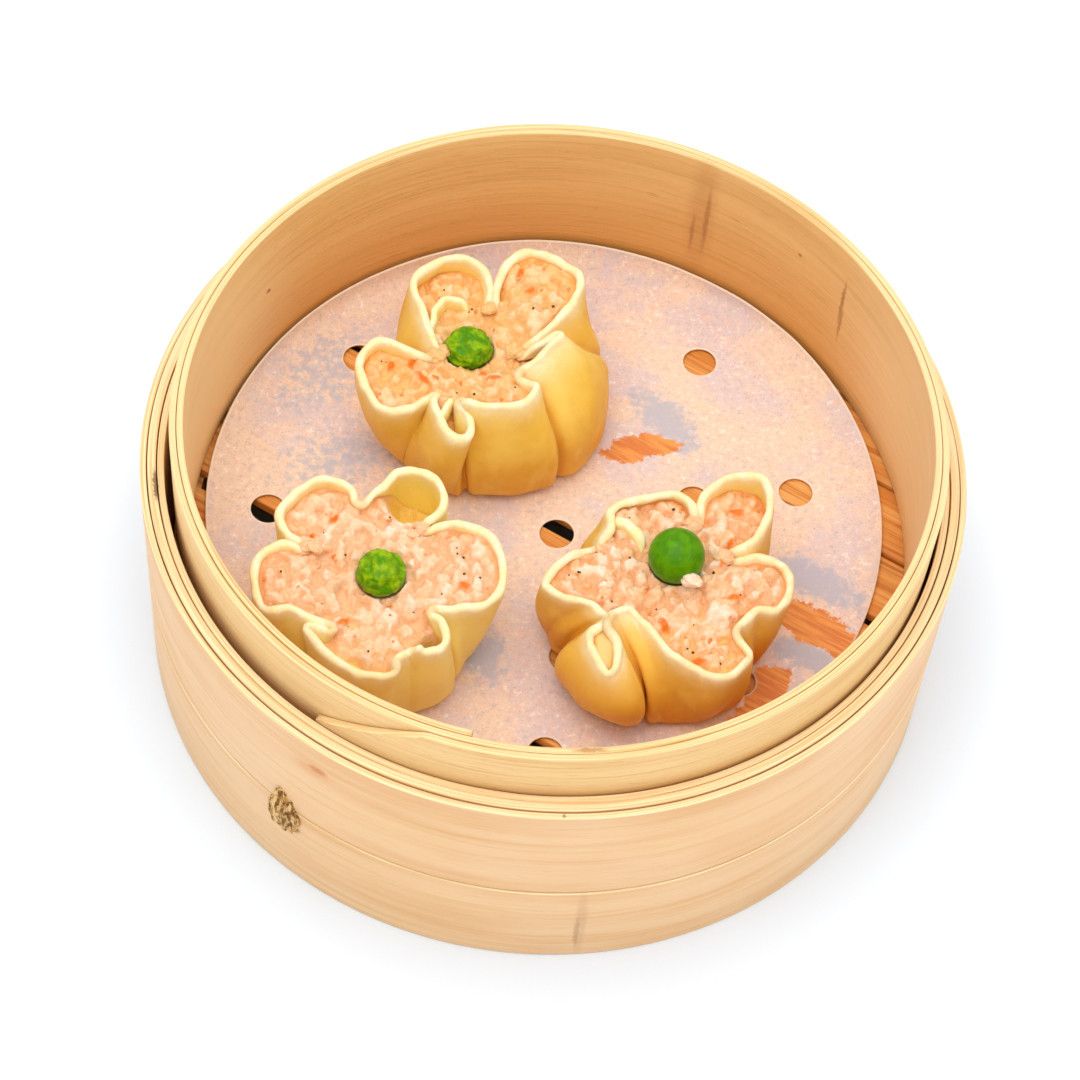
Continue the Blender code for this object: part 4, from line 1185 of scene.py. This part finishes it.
def add_wrapper(name, shumai, material):
    """The dough: an outer wall, a rounded rim, an inner wall and a closed bottom."""
    columns = wall_columns(shumai)
    count = len(columns)
    half_edge = DOUGH_EDGE / 2 * (1.0 + RIM_UNEVEN * noise_at(columns[:, :3], RIM_UNEVEN_SIZE))
    top = columns[:, 2] - half_edge
    crease = np.clip(columns[:, 5], 0.0, 1.0)
    rows = []
    rims = []
    insides = []
    for inside in (0.0, 1.0):
        levels = np.linspace(0.0, 1.0, WALL_ROWS)
        if inside:
            levels = levels[:0:-1]
        for level in levels:
            middle, normal = wall_middle(shumai, columns, level)
            half = DOUGH / 2 + (half_edge - DOUGH / 2) * float(smoothstep(THICKENING_LEVEL, 1.0, level))
            side = -half if inside else half
            height = top * level
            if inside:
                height = np.maximum(height, DOUGH)
            rows.append(np.column_stack([middle + normal * side[:, None], height]))
            rims.append(np.exp((height - top) / RIM_FADE))
            insides.append(np.full(count, inside))
        if not inside:
            for turn in RIM_TURNS:
                side = half_edge * math.cos(math.radians(turn))
                rise = half_edge * math.sin(math.radians(turn))
                rows.append(np.column_stack([middle + normal * side[:, None], top + rise]))
                rims.append(np.ones(count))
                insides.append(np.zeros(count))
    faces = row_faces(len(rows), count)
    under = len(rows) * count
    faces += [face[::-1] for face in fan_faces(0, under, count)]
    faces += fan_faces((len(rows) - 1) * count, under + 1, count)
    points = np.vstack(rows + [[[0.0, 0.0, 0.0], [0.0, 0.0, DOUGH]]])
    outside = 1.0 - np.append(np.concatenate(insides), [0.0, 1.0])
    heights = points[:, 2]
    layers = {
        "rim": np.append(np.concatenate(rims), [0.0, 0.0]),
        "inside": 1.0 - outside,
        "foot": np.exp(-heights / FOOT_FADE) * outside,
        "golden": shumai.golden * (1.0 - GOLDEN_LOSS * smoothstep(*GOLDEN_FADE, heights)) * outside,
        "crease": np.append(np.tile(crease, len(rows)), [0.0, 0.0]),
    }
    placed = place_points(shumai, points)
    add_piece(f"dough_{name}", placed, faces, material, [f"wrapper_{name}"], layers)


def filling_height(shumai, plans):
    """The level of the filling: wide petals draw it to their level, narrow ones dip it close by."""
    places = [np.zeros(2)]
    levels = [shumai.level]
    dip = np.zeros(len(plans))
    for petal, _ in shumai.folds:
        along, across = directions(petal.direction)
        if petal.width > NARROW_PETAL:
            places.append(along * petal.reach * PETAL_CENTRE)
            levels.append(petal.level)
        else:
            pocket = along * (petal.reach + petal.shoulder) / 2 + across * petal.shift / 2
            gap = np.linalg.norm(plans - pocket, axis=1) / (POCKET_REACH * petal.width)
            dip += (shumai.level - petal.level) * np.exp(-(gap**POCKET_STEEPNESS))
    gaps = np.linalg.norm(plans[:, None, :] - np.array(places)[None, :, :], axis=2)
    weights = 1.0 / (gaps**LEVEL_BLEND + 1.0)
    spots = np.column_stack([plans, np.full(len(plans), shumai.axis[0])])
    blended = weights @ np.array(levels) / weights.sum(axis=1)
    return blended - dip + LUMP * noise_at(spots, LUMP_SIZE)


def pea_flat_distance(shumai, plans):
    """How far each point lies from the pea's centre in plan: 1 is the edge of the pea's hollow."""
    room = np.array(shumai.pea_size[:2]) + PEA_ROOM
    return np.linalg.norm((plans - np.array(shumai.pea_place[:2])) / room, axis=1)


def outline_distances(points, outline):
    """How far inside a closed outline each point lies (less than 0 outside), and the nearest corner."""
    following = np.roll(outline, -1, axis=0)
    span = following - outline
    offset = points[:, None, :] - outline[None, :, :]
    share = np.clip((offset * span).sum(axis=2) / (span * span).sum(axis=1), 0.0, 1.0)
    gaps = np.linalg.norm(offset - share[:, :, None] * span, axis=2)
    rising = (outline[None, :, 1] > points[:, None, 1]) != (following[None, :, 1] > points[:, None, 1])
    with np.errstate(divide="ignore", invalid="ignore"):
        slope = span[:, 0] / span[:, 1]
        crossing = outline[:, 0] + slope * (points[:, None, 1] - outline[:, 1])
    inside = np.count_nonzero(rising & (crossing > points[:, None, 0]), axis=1) % 2 == 1
    return np.where(inside, 1.0, -1.0) * gaps.min(axis=1), gaps.argmin(axis=1)


def on_wall(wall, heights):
    """The plan of each column of the wall at its height, read between the rows above and below."""
    plans = []
    for line, height in zip(np.swapaxes(wall, 0, 1), heights):
        plans.append([np.interp(height, line[:, 2], line[:, axis]) for axis in (0, 1)])
    return np.array(plans)


def spread_out(chance, spots, tries, spacing):
    """Some of the spots, picked by chance, none nearer to another than the spacing."""
    kept = []
    for _ in range(tries):
        spot = spots[chance.randrange(len(spots))]
        if not kept or min(np.hypot(*(spot - other)) for other in kept) > spacing:
            kept.append(spot)
    return kept


def mince_relief(name, plans):
    """Height and tone of soft minced chunks that run into each other."""
    chance = random.Random(f"chunks {name}")
    spots = np.column_stack([plans, np.zeros(len(plans))])
    warp = [noise_at(spots, CHUNK_WARP_SIZE, seed) for seed in (3.0, 8.0)]
    warped = plans + CHUNK_WARP * np.stack(warp, axis=1)
    relief = GRAIN_HEIGHT * noise_at(spots, GRAIN_SIZE, 5.0)
    tone = np.zeros(len(plans))
    for spacing, shortest, longest, height, firmness in CHUNK_LAYERS:
        total = np.ones(len(plans))
        toned = np.full(len(plans), 0.5)
        for centre in spread_out(chance, plans, CHUNK_TRIES, spacing):
            length = chance.uniform(shortest, longest)
            width = length * chance.uniform(*CHUNK_WIDTHS)
            reach = ellipse_reach(warped, centre, length, width, chance.uniform(0.0, 180.0))
            rise = chance.uniform(0.6, 1.2) * height * width * np.sqrt(np.clip(1.0 - reach**2, 0.0, 1.0))
            weight = np.exp(firmness * rise) - 1.0
            total += weight
            toned += weight * chance.random()
        relief += np.log(total) / firmness
        tone += 0.5 * toned / total
    return relief, tone


# Orange bits in each filling: place in millimetres, half lengths, direction
ORANGE_BITS = {
    "back": [
        (-16.0, -4.5, 1.4, 0.9, 30.0),
        (-20.1, -5.7, 1.1, 0.7, 80.0),
        (-13.7, -8.6, 2.0, 0.6, -35.0),
        (-3.0, -6.9, 1.4, 0.45, 60.0),
        (-0.7, -8.4, 1.7, 0.45, -5.0),
        (2.0, 15.0, 2.2, 0.6, 75.0),
        (4.2, 11.5, 1.0, 0.6, 20.0),
    ],
    "left": [
        (-9.4, 9.1, 1.3, 0.9, 60.0),
        (-13.2, 5.0, 1.2, 0.7, 30.0),
        (-5.4, -10.5, 1.6, 0.7, 40.0),
        (-7.0, -13.0, 1.4, 0.9, 60.0),
        (15.1, -1.9, 1.2, 0.9, 20.0),
        (4.4, 12.0, 1.5, 1.0, 10.0),
        (2.5, -7.0, 0.6, 0.4, 0.0),
    ],
    "right": [
        (-12.5, 5.0, 1.3, 0.6, -40.0),
        (10.2, 6.0, 1.0, 0.45, 60.0),
        (8.8, 2.6, 1.1, 0.5, -70.0),
        (-0.4, -11.0, 1.5, 0.8, -50.0),
        (11.5, -4.5, 1.4, 0.7, 20.0),
        (11.0, 13.5, 1.6, 0.8, 0.0),
        (6.0, -17.5, 1.6, 0.6, 10.0),
    ],
}


# Pinches of each rim that sink under the filling, by their directions
COVERED = {"back": (338, 106, 196), "left": (57, 168), "right": (20, 69, 165)}

# Narrow loops of dough that hold no chunks: place and radius
NARROW_LOOPS = {"back": (-8.4, -18.8, 3.6), "left": (11.3, -14.6, 3.0), "right": (-11.0, -17.4, 5.2)}


def ball(subdivisions):
    """Points and triangles of a ball of radius 1."""
    shape = bmesh.new()
    bmesh.ops.create_icosphere(shape, subdivisions=subdivisions, radius=1.0)
    points = np.array([tuple(vertex.co) for vertex in shape.verts])
    faces = [tuple(vertex.index for vertex in face.verts) for face in shape.faces]
    shape.free()
    return points, faces


class Lumps:
    """Pieces of mince gathered into one mesh, each with its own tone."""

    def __init__(self, seed):
        self.chance = random.Random(seed)
        self.points = []
        self.faces = []
        self.layers = {"tone": [], "orange": [], "dark": []}

    def add(self, centre, sizes, subdivisions, tone, orange=0.0, dark=0.0, uneven=0.4):
        round_points, faces = ball(subdivisions)
        shift = Vector([self.chance.uniform(-50.0, 50.0) for _ in range(3)])
        spots = [Vector(point) for point in round_points]
        broad = np.array([noise.noise(spot * 1.3 + shift) for spot in spots])
        small = np.array([noise.noise(spot * 3.0 + shift) for spot in spots])
        swell = 1.0 + uneven * (broad + 0.35 * small)
        turn = Matrix.Rotation(self.chance.uniform(0.0, math.pi), 3, "Z")
        tilt = Matrix.Rotation(self.chance.uniform(-0.5, 0.5), 3, "X")
        made = round_points * swell[:, None] * np.array(sizes)
        made = made @ np.array(turn @ tilt).T + np.array(centre)
        self.faces += moved_faces(faces, len(self.points))
        self.points += made.tolist()
        for key, value in (("tone", tone), ("orange", orange), ("dark", dark)):
            self.layers[key] += [value] * len(made)


def scatter_lumps(name, shumai, spots, level, rim):
    """Mince over the sunken pinches, and small orange bits and pepper specks inside the rim."""
    lumps = Lumps(name)
    chance = lumps.chance
    for _, pinch in shumai.folds:
        if pinch.direction in COVERED[name]:
            for _ in range(COVER_LUMPS):
                reach = pinch.radius + chance.uniform(-COVER_INWARDS, 0.0)
                turn = chance.uniform(-COVER_SPREAD, COVER_SPREAD)
                spot = direction_vector(pinch.direction + turn) * reach
                size = chance.uniform(*COVER_WIDTHS)
                sizes = [size * share for share in COVER_SHAPE]
                tone = chance.uniform(*COVER_TONES)
                lumps.add((*spot, pinch.height - COVER_DROP), sizes, 4, tone, uneven=0.3)
    *loop, loop_radius = NARROW_LOOPS[name]
    free = pea_flat_distance(shumai, spots) > BIT_PEA_CLEAR
    free &= outline_distances(spots, rim)[0] > BIT_RIM_CLEAR
    free &= np.linalg.norm(spots - np.array(loop), axis=1) > loop_radius
    places = np.column_stack([spots, level])[free]
    for _ in range(BIT_COUNT):
        place = places[chance.randrange(len(places))]
        width = chance.uniform(*BIT_WIDTHS)
        length = width * chance.uniform(*BIT_LENGTHS)
        orange = chance.uniform(*BIT_ORANGE)
        lumps.add(place, (length, width, BIT_FLATNESS * width), 3, 0.9, orange=orange)
    for _ in range(SPECK_COUNT):
        place = places[chance.randrange(len(places))]
        size = chance.uniform(*SPECK_WIDTHS)
        lumps.add(place, (size, size, size), 2, 0.5, dark=1.0)
    return lumps


def add_filling(name, shumai, material):
    """The filling, with chunks on its top, set into the dough."""
    columns = wall_columns(shumai)
    count = len(columns)
    side = -DOUGH / 2 + FILLING_OVERLAP
    wall = []
    for level in np.linspace(0.0, 1.0, WALL_ROWS):
        middle, normal = wall_middle(shumai, columns, level)
        wall.append(np.column_stack([middle + normal * side, columns[:, 2] * level]))
    wall = np.array(wall)
    heights = np.full(count, shumai.level)
    for _ in range(OUTLINE_ROUNDS):
        wanted = filling_height(shumai, on_wall(wall, heights))
        heights = np.minimum(wanted, columns[:, 2] - FILLING_BELOW_RIM) - EDGE_DROP
    edge = on_wall(wall, heights)
    grid = grid_points((0.0, 0.0), FILLING_REACH, FILLING_GRID)
    inward, _ = outline_distances(grid, edge)
    grid = grid[inward > EDGE_CLEAR]

    def inside(points):
        return outline_distances(points, edge)[0] > 0.0

    corners, triangles = triangulate([edge], grid, inside)
    inner = corners[count:]
    inward, nearest = outline_distances(inner, edge)
    fade = smoothstep(0.0, EDGE_FADE, inward)
    level = heights[nearest] + (filling_height(shumai, inner) - heights[nearest]) * fade
    relief, tone = mince_relief(name, inner)
    level += (relief - CHUNK_MIDDLE) * smoothstep(0.0, CHUNK_FADE, inward)
    bits = strongest(inner, ORANGE_BITS[name], *BIT_FADE)
    level += BIT_RISE * bits
    # Painted shade near the dough wall, carried as the low attribute.
    near_wall = 1.0 - smoothstep(0.0, NEAR_WALL, inward)
    # Deeply sunk filling is painted the dough's yellow, partly as painted light.
    sunk = smoothstep(*SUNK_FADE, shumai.level - level)
    flat = pea_flat_distance(shumai, inner)
    depth = (shumai.pea_size[2] + PEA_ROOM) * np.sqrt(np.clip(1.0 - flat**2, 0.0, 1.0))
    level = np.minimum(level, np.where(flat < 1.0, shumai.pea_place[2] - depth, level))
    bottom = DOUGH - FILLING_OVERLAP
    row_heights = [np.full(count, bottom)]
    for share, most in zip(FILLING_ROW_LEVELS, FILLING_ROW_MOST):
        row_heights.append(np.minimum(columns[:, 2] * share, bottom + (heights - bottom) * most))
    rows = [np.column_stack([on_wall(wall, row), row]) for row in row_heights]
    start = len(rows) * count
    top = np.column_stack([corners, np.concatenate([heights, level])])
    points = np.vstack(rows + [top, [[0.0, 0.0, bottom]]])
    faces = row_faces(len(rows) + 1, count)
    faces += moved_faces(triangles, start)
    faces += [face[::-1] for face in fan_faces(0, len(points) - 1, count)]
    lumps = scatter_lumps(name, shumai, inner, level, columns[:, :2])
    nothing = np.zeros(len(lumps.points))
    # Painted shade in the crevices between the chunks.
    painted_crevice_shade = 1.0 - smoothstep(*CHUNK_EDGES, relief)
    layers = {}
    for key, below, values, middle, loose in (
        ("orange", 0.0, bits, 0.0, lumps.layers["orange"]),
        ("low", 1.0, near_wall, 0.0, nothing),
        ("sunk", 0.0, sunk, 0.0, nothing),
        ("deep", 0.0, painted_crevice_shade, 0.0, nothing),
        ("tone", 0.5, tone, 0.5, lumps.layers["tone"]),
        ("dark", 0.0, 0.0 * tone, 0.0, lumps.layers["dark"]),
    ):
        layers[key] = np.concatenate([np.full(start + count, below), values, [middle], loose])
    faces += moved_faces(lumps.faces, len(points))
    placed = place_points(shumai, np.vstack([points, lumps.points]))
    add_piece(f"mince_{name}", placed, faces, material, [f"filling_{name}"], layers)


def add_pea(name, shumai, material):
    """A pea, round or shrunken with wrinkles."""
    round_points, faces = ball(FINE_BALL)
    seed = Vector((*shumai.axis, 0.0))
    points = []
    raised = []
    for spot in map(Vector, round_points):
        dent = PEA_DENT * max(0.0, noise.noise(spot * 1.9 + seed))
        pit = PEA_PIT * max(0.0, noise.noise(spot * 3.6 - seed))
        fine = 0.5 + 0.5 * noise.noise(spot * 7.0 + seed)
        sink = shumai.wrinkle * (dent + 0.6 * pit + 0.15 * fine) + PEA_SKIN * fine
        points.append([(size - sink) * part for size, part in zip(shumai.pea_size, spot)])
        # Painted shade in the dents and pits; the smooth pea gets one even share.
        raised.append(1.0 - 0.7 * pit - 0.5 * dent if shumai.wrinkle else PLAIN_PEA)
    placed = place_points(shumai, np.array(points) + np.array(shumai.pea_place))
    layers = {"raised": raised}
    add_piece(f"pea_{name}_fine", placed, faces, material, [f"pea_{name}"], layers)


# Small folds of dough inside the rims: thickness, depth, paleness, and points of the upper edge.
# The last one closes the narrow slit of the right shumai.
FOLDS = {
    "back": [
        (1.6, 5.5, 1.0, [
            (-12.7, -2.3, 22.6), (-13.5, 1.2, 23.6), (-13.2, 5.0, 24.0), (-12.2, 7.9, 24.2),
            (-10.2, 9.4, 23.8), (-8.0, 8.8, 23.2), (-6.4, 7.0, 22.4),
        ]),
        (1.4, 4.0, 1.0, [(-7.8, -13.6, 24.0), (-8.8, -16.4, 24.4), (-9.6, -19.0, 23.2)]),
    ],
    "right": [
        (2.2, 3.4, 1.0, [
            (-12.0, 8.8, 22.0), (-9.8, 8.3, 22.5), (-7.6, 7.3, 22.7), (-6.0, 5.4, 22.5), (-5.8, 3.0, 21.6),
        ]),
        (4.2, 3.0, 0.0, [(-11.0, -12.4, 20.8), (-10.7, -17.0, 19.6), (-10.1, -21.6, 18.0)]),
    ],
}
FOLD_STEPS = 40
FOLD_SIDES = 20
FOLD_SQUARENESS = 0.65
FOLD_TAPER = 0.22
FOLD_WAVE = 0.5
FOLD_GOLDEN = 0.6


def smooth_path(points, steps):
    """An even curve through points, by Catmull-Rom."""
    points = np.array(points, float)
    ends = np.vstack([2.0 * points[0] - points[1], points, 2.0 * points[-1] - points[-2]])
    made = []
    spans = len(points) - 1
    for step in range(steps + 1):
        at = min(step / steps * spans, spans - 1e-6)
        index = int(at)
        part = at - index
        before, first, second, after = ends[index : index + 4]
        made.append(
            0.5 * (
                2.0 * first + (second - before) * part
                + (2.0 * before - 5.0 * first + 4.0 * second - after) * part**2
                + (3.0 * first - before - 3.0 * second + after) * part**3
            )
        )
    return np.array(made)


def fold_points(shumai, thickness, depth, path):
    """A flattened roll of dough on edge, thinner at its ends."""
    line = smooth_path(path, FOLD_STEPS)
    tangent = np.gradient(line[:, :2], axis=0)
    tangent /= np.linalg.norm(tangent, axis=1, keepdims=True)
    normal = np.stack([tangent[:, 1], -tangent[:, 0]], axis=1)
    rows = []
    for step, (place, side) in enumerate(zip(line, normal)):
        share = step / FOLD_STEPS
        taper = math.sqrt(float(smoothstep(-0.02, FOLD_TAPER, min(share, 1.0 - share))))
        wave = FOLD_WAVE * noise.noise(Vector(place) / 2.2 + Vector((shumai.axis[0], 0.0, 0.0)))
        for number in range(FOLD_SIDES):
            turn = 2.0 * math.pi * number / FOLD_SIDES
            across = math.copysign(abs(math.cos(turn)) ** FOLD_SQUARENESS, math.cos(turn))
            rise = math.copysign(abs(math.sin(turn)) ** FOLD_SQUARENESS, math.sin(turn))
            plan = place[:2] + side * (across * thickness / 2 * taper + wave)
            rows.append([plan[0], plan[1], place[2] - depth / 2 + rise * depth / 2 * taper])
    return rows


def add_folds(name, shumai, material):
    """The small dough folds of one dumpling as one piece."""
    points = []
    faces = []
    rims = []
    golden = []
    for thickness, depth, paleness, path in FOLDS[name]:
        start = len(points)
        rows = fold_points(shumai, thickness, depth, path)
        points += rows
        ends = (tuple(range(FOLD_SIDES))[::-1], tuple(range(len(rows) - FOLD_SIDES, len(rows))))
        faces += moved_faces([*row_faces(FOLD_STEPS + 1, FOLD_SIDES), *ends], start)
        tops = np.repeat(smooth_path(path, FOLD_STEPS)[:, 2], FOLD_SIDES)
        rims += list(paleness * np.exp((np.array(rows)[:, 2] - tops) / RIM_FADE))
        golden += [FOLD_GOLDEN * (1.0 - paleness)] * len(rows)
    placed = place_points(shumai, points)
    layers = {"rim": rims, "golden": golden}
    recalculate_normals(add_piece(f"fold_{name}", placed, faces, material, [], layers))


def add_crumb(material):
    """A pale crumb of filling that leans on the smooth pea."""
    crumb = Lumps("crumb")
    crumb.add((3.4, -3.4, 23.0), (2.2, 1.4, 1.2), 5, 0.0, uneven=0.3)
    placed = place_points(RIGHT_SHUMAI, crumb.points)
    add_piece("pale_crumb", placed, crumb.faces, material, [], crumb.layers)


def add_area_light(name, place, power):
    """A square soft light that faces the middle of the basket."""
    data = bpy.data.lights.new(name, "AREA")
    data.shape = "SQUARE"
    data.size = LIGHT_SIZE
    data.energy = power
    light = new_object(name, data)
    light.location = place
    aim = Vector(LIT_PLACE) - Vector(place)
    light.rotation_euler = aim.to_track_quat("-Z", "Y").to_euler()


def add_studio():
    """White floor, even white surroundings, and soft lights from above, the front and the right."""
    floor = bpy.data.meshes.new("floor")
    corners = [(FLOOR_REACH * x, FLOOR_REACH * y, 0.0) for x, y in ((-1, -1), (1, -1), (1, 1), (-1, 1))]
    floor.from_pydata(corners, [], [(0, 1, 2, 3)])
    floor.materials.append(floor_material())
    stage = new_object("floor", floor)
    stage.location = (0.0, 0.0, -FLOOR_CLEAR)
    world = bpy.data.worlds.new("studio")
    bpy.context.scene.world = world
    world.use_nodes = True
    background = world.node_tree.nodes["Background"]
    background.inputs["Color"].default_value = (1.0, 1.0, 1.0, 1.0)
    background.inputs["Strength"].default_value = WORLD_STRENGTH
    for name, place, power in LIGHTS:
        add_area_light(name, place, power)
    bpy.context.scene.view_settings.view_transform = "Standard"


def add_camera():
    data = bpy.data.cameras.new("camera")
    data.lens = CAMERA_LENS
    data.sensor_width = CAMERA_SENSOR
    data.clip_start = 0.01
    data.clip_end = 10.0
    camera = new_object("camera", data)
    tip = Matrix.Rotation(math.pi / 2 - CAMERA_DOWN, 4, "X")
    roll = Matrix.Rotation(CAMERA_ROLL, 4, "Z")
    camera.matrix_world = Matrix.Translation(CAMERA_PLACE) @ tip @ roll
    bpy.context.scene.camera = camera


def main():
    add_camera()
    add_studio()
    band = band_material()
    slat = slat_material()
    add_basket(band, slat)
    add_hoop(hoop_material())
    add_slats(slat)
    dress_bars(slat)
    add_knot(knot_material())
    add_paper(paper_material())
    dough = dough_material()
    filling = filling_material()
    fresh = pea_material("pea_wrinkled", (156, 190, 8), (78, 138, 0), 0.1)
    plain = pea_material("pea_smooth", (98, 156, 0), (72, 134, 0), 0.03)
    for name, shumai in SHUMAI.items():
        add_wrapper(name, shumai, dough)
        add_filling(name, shumai, filling)
        add_pea(name, shumai, fresh if shumai.wrinkle else plain)
    for name in FOLDS:
        add_folds(name, SHUMAI[name], dough)
    add_crumb(filling)


main()
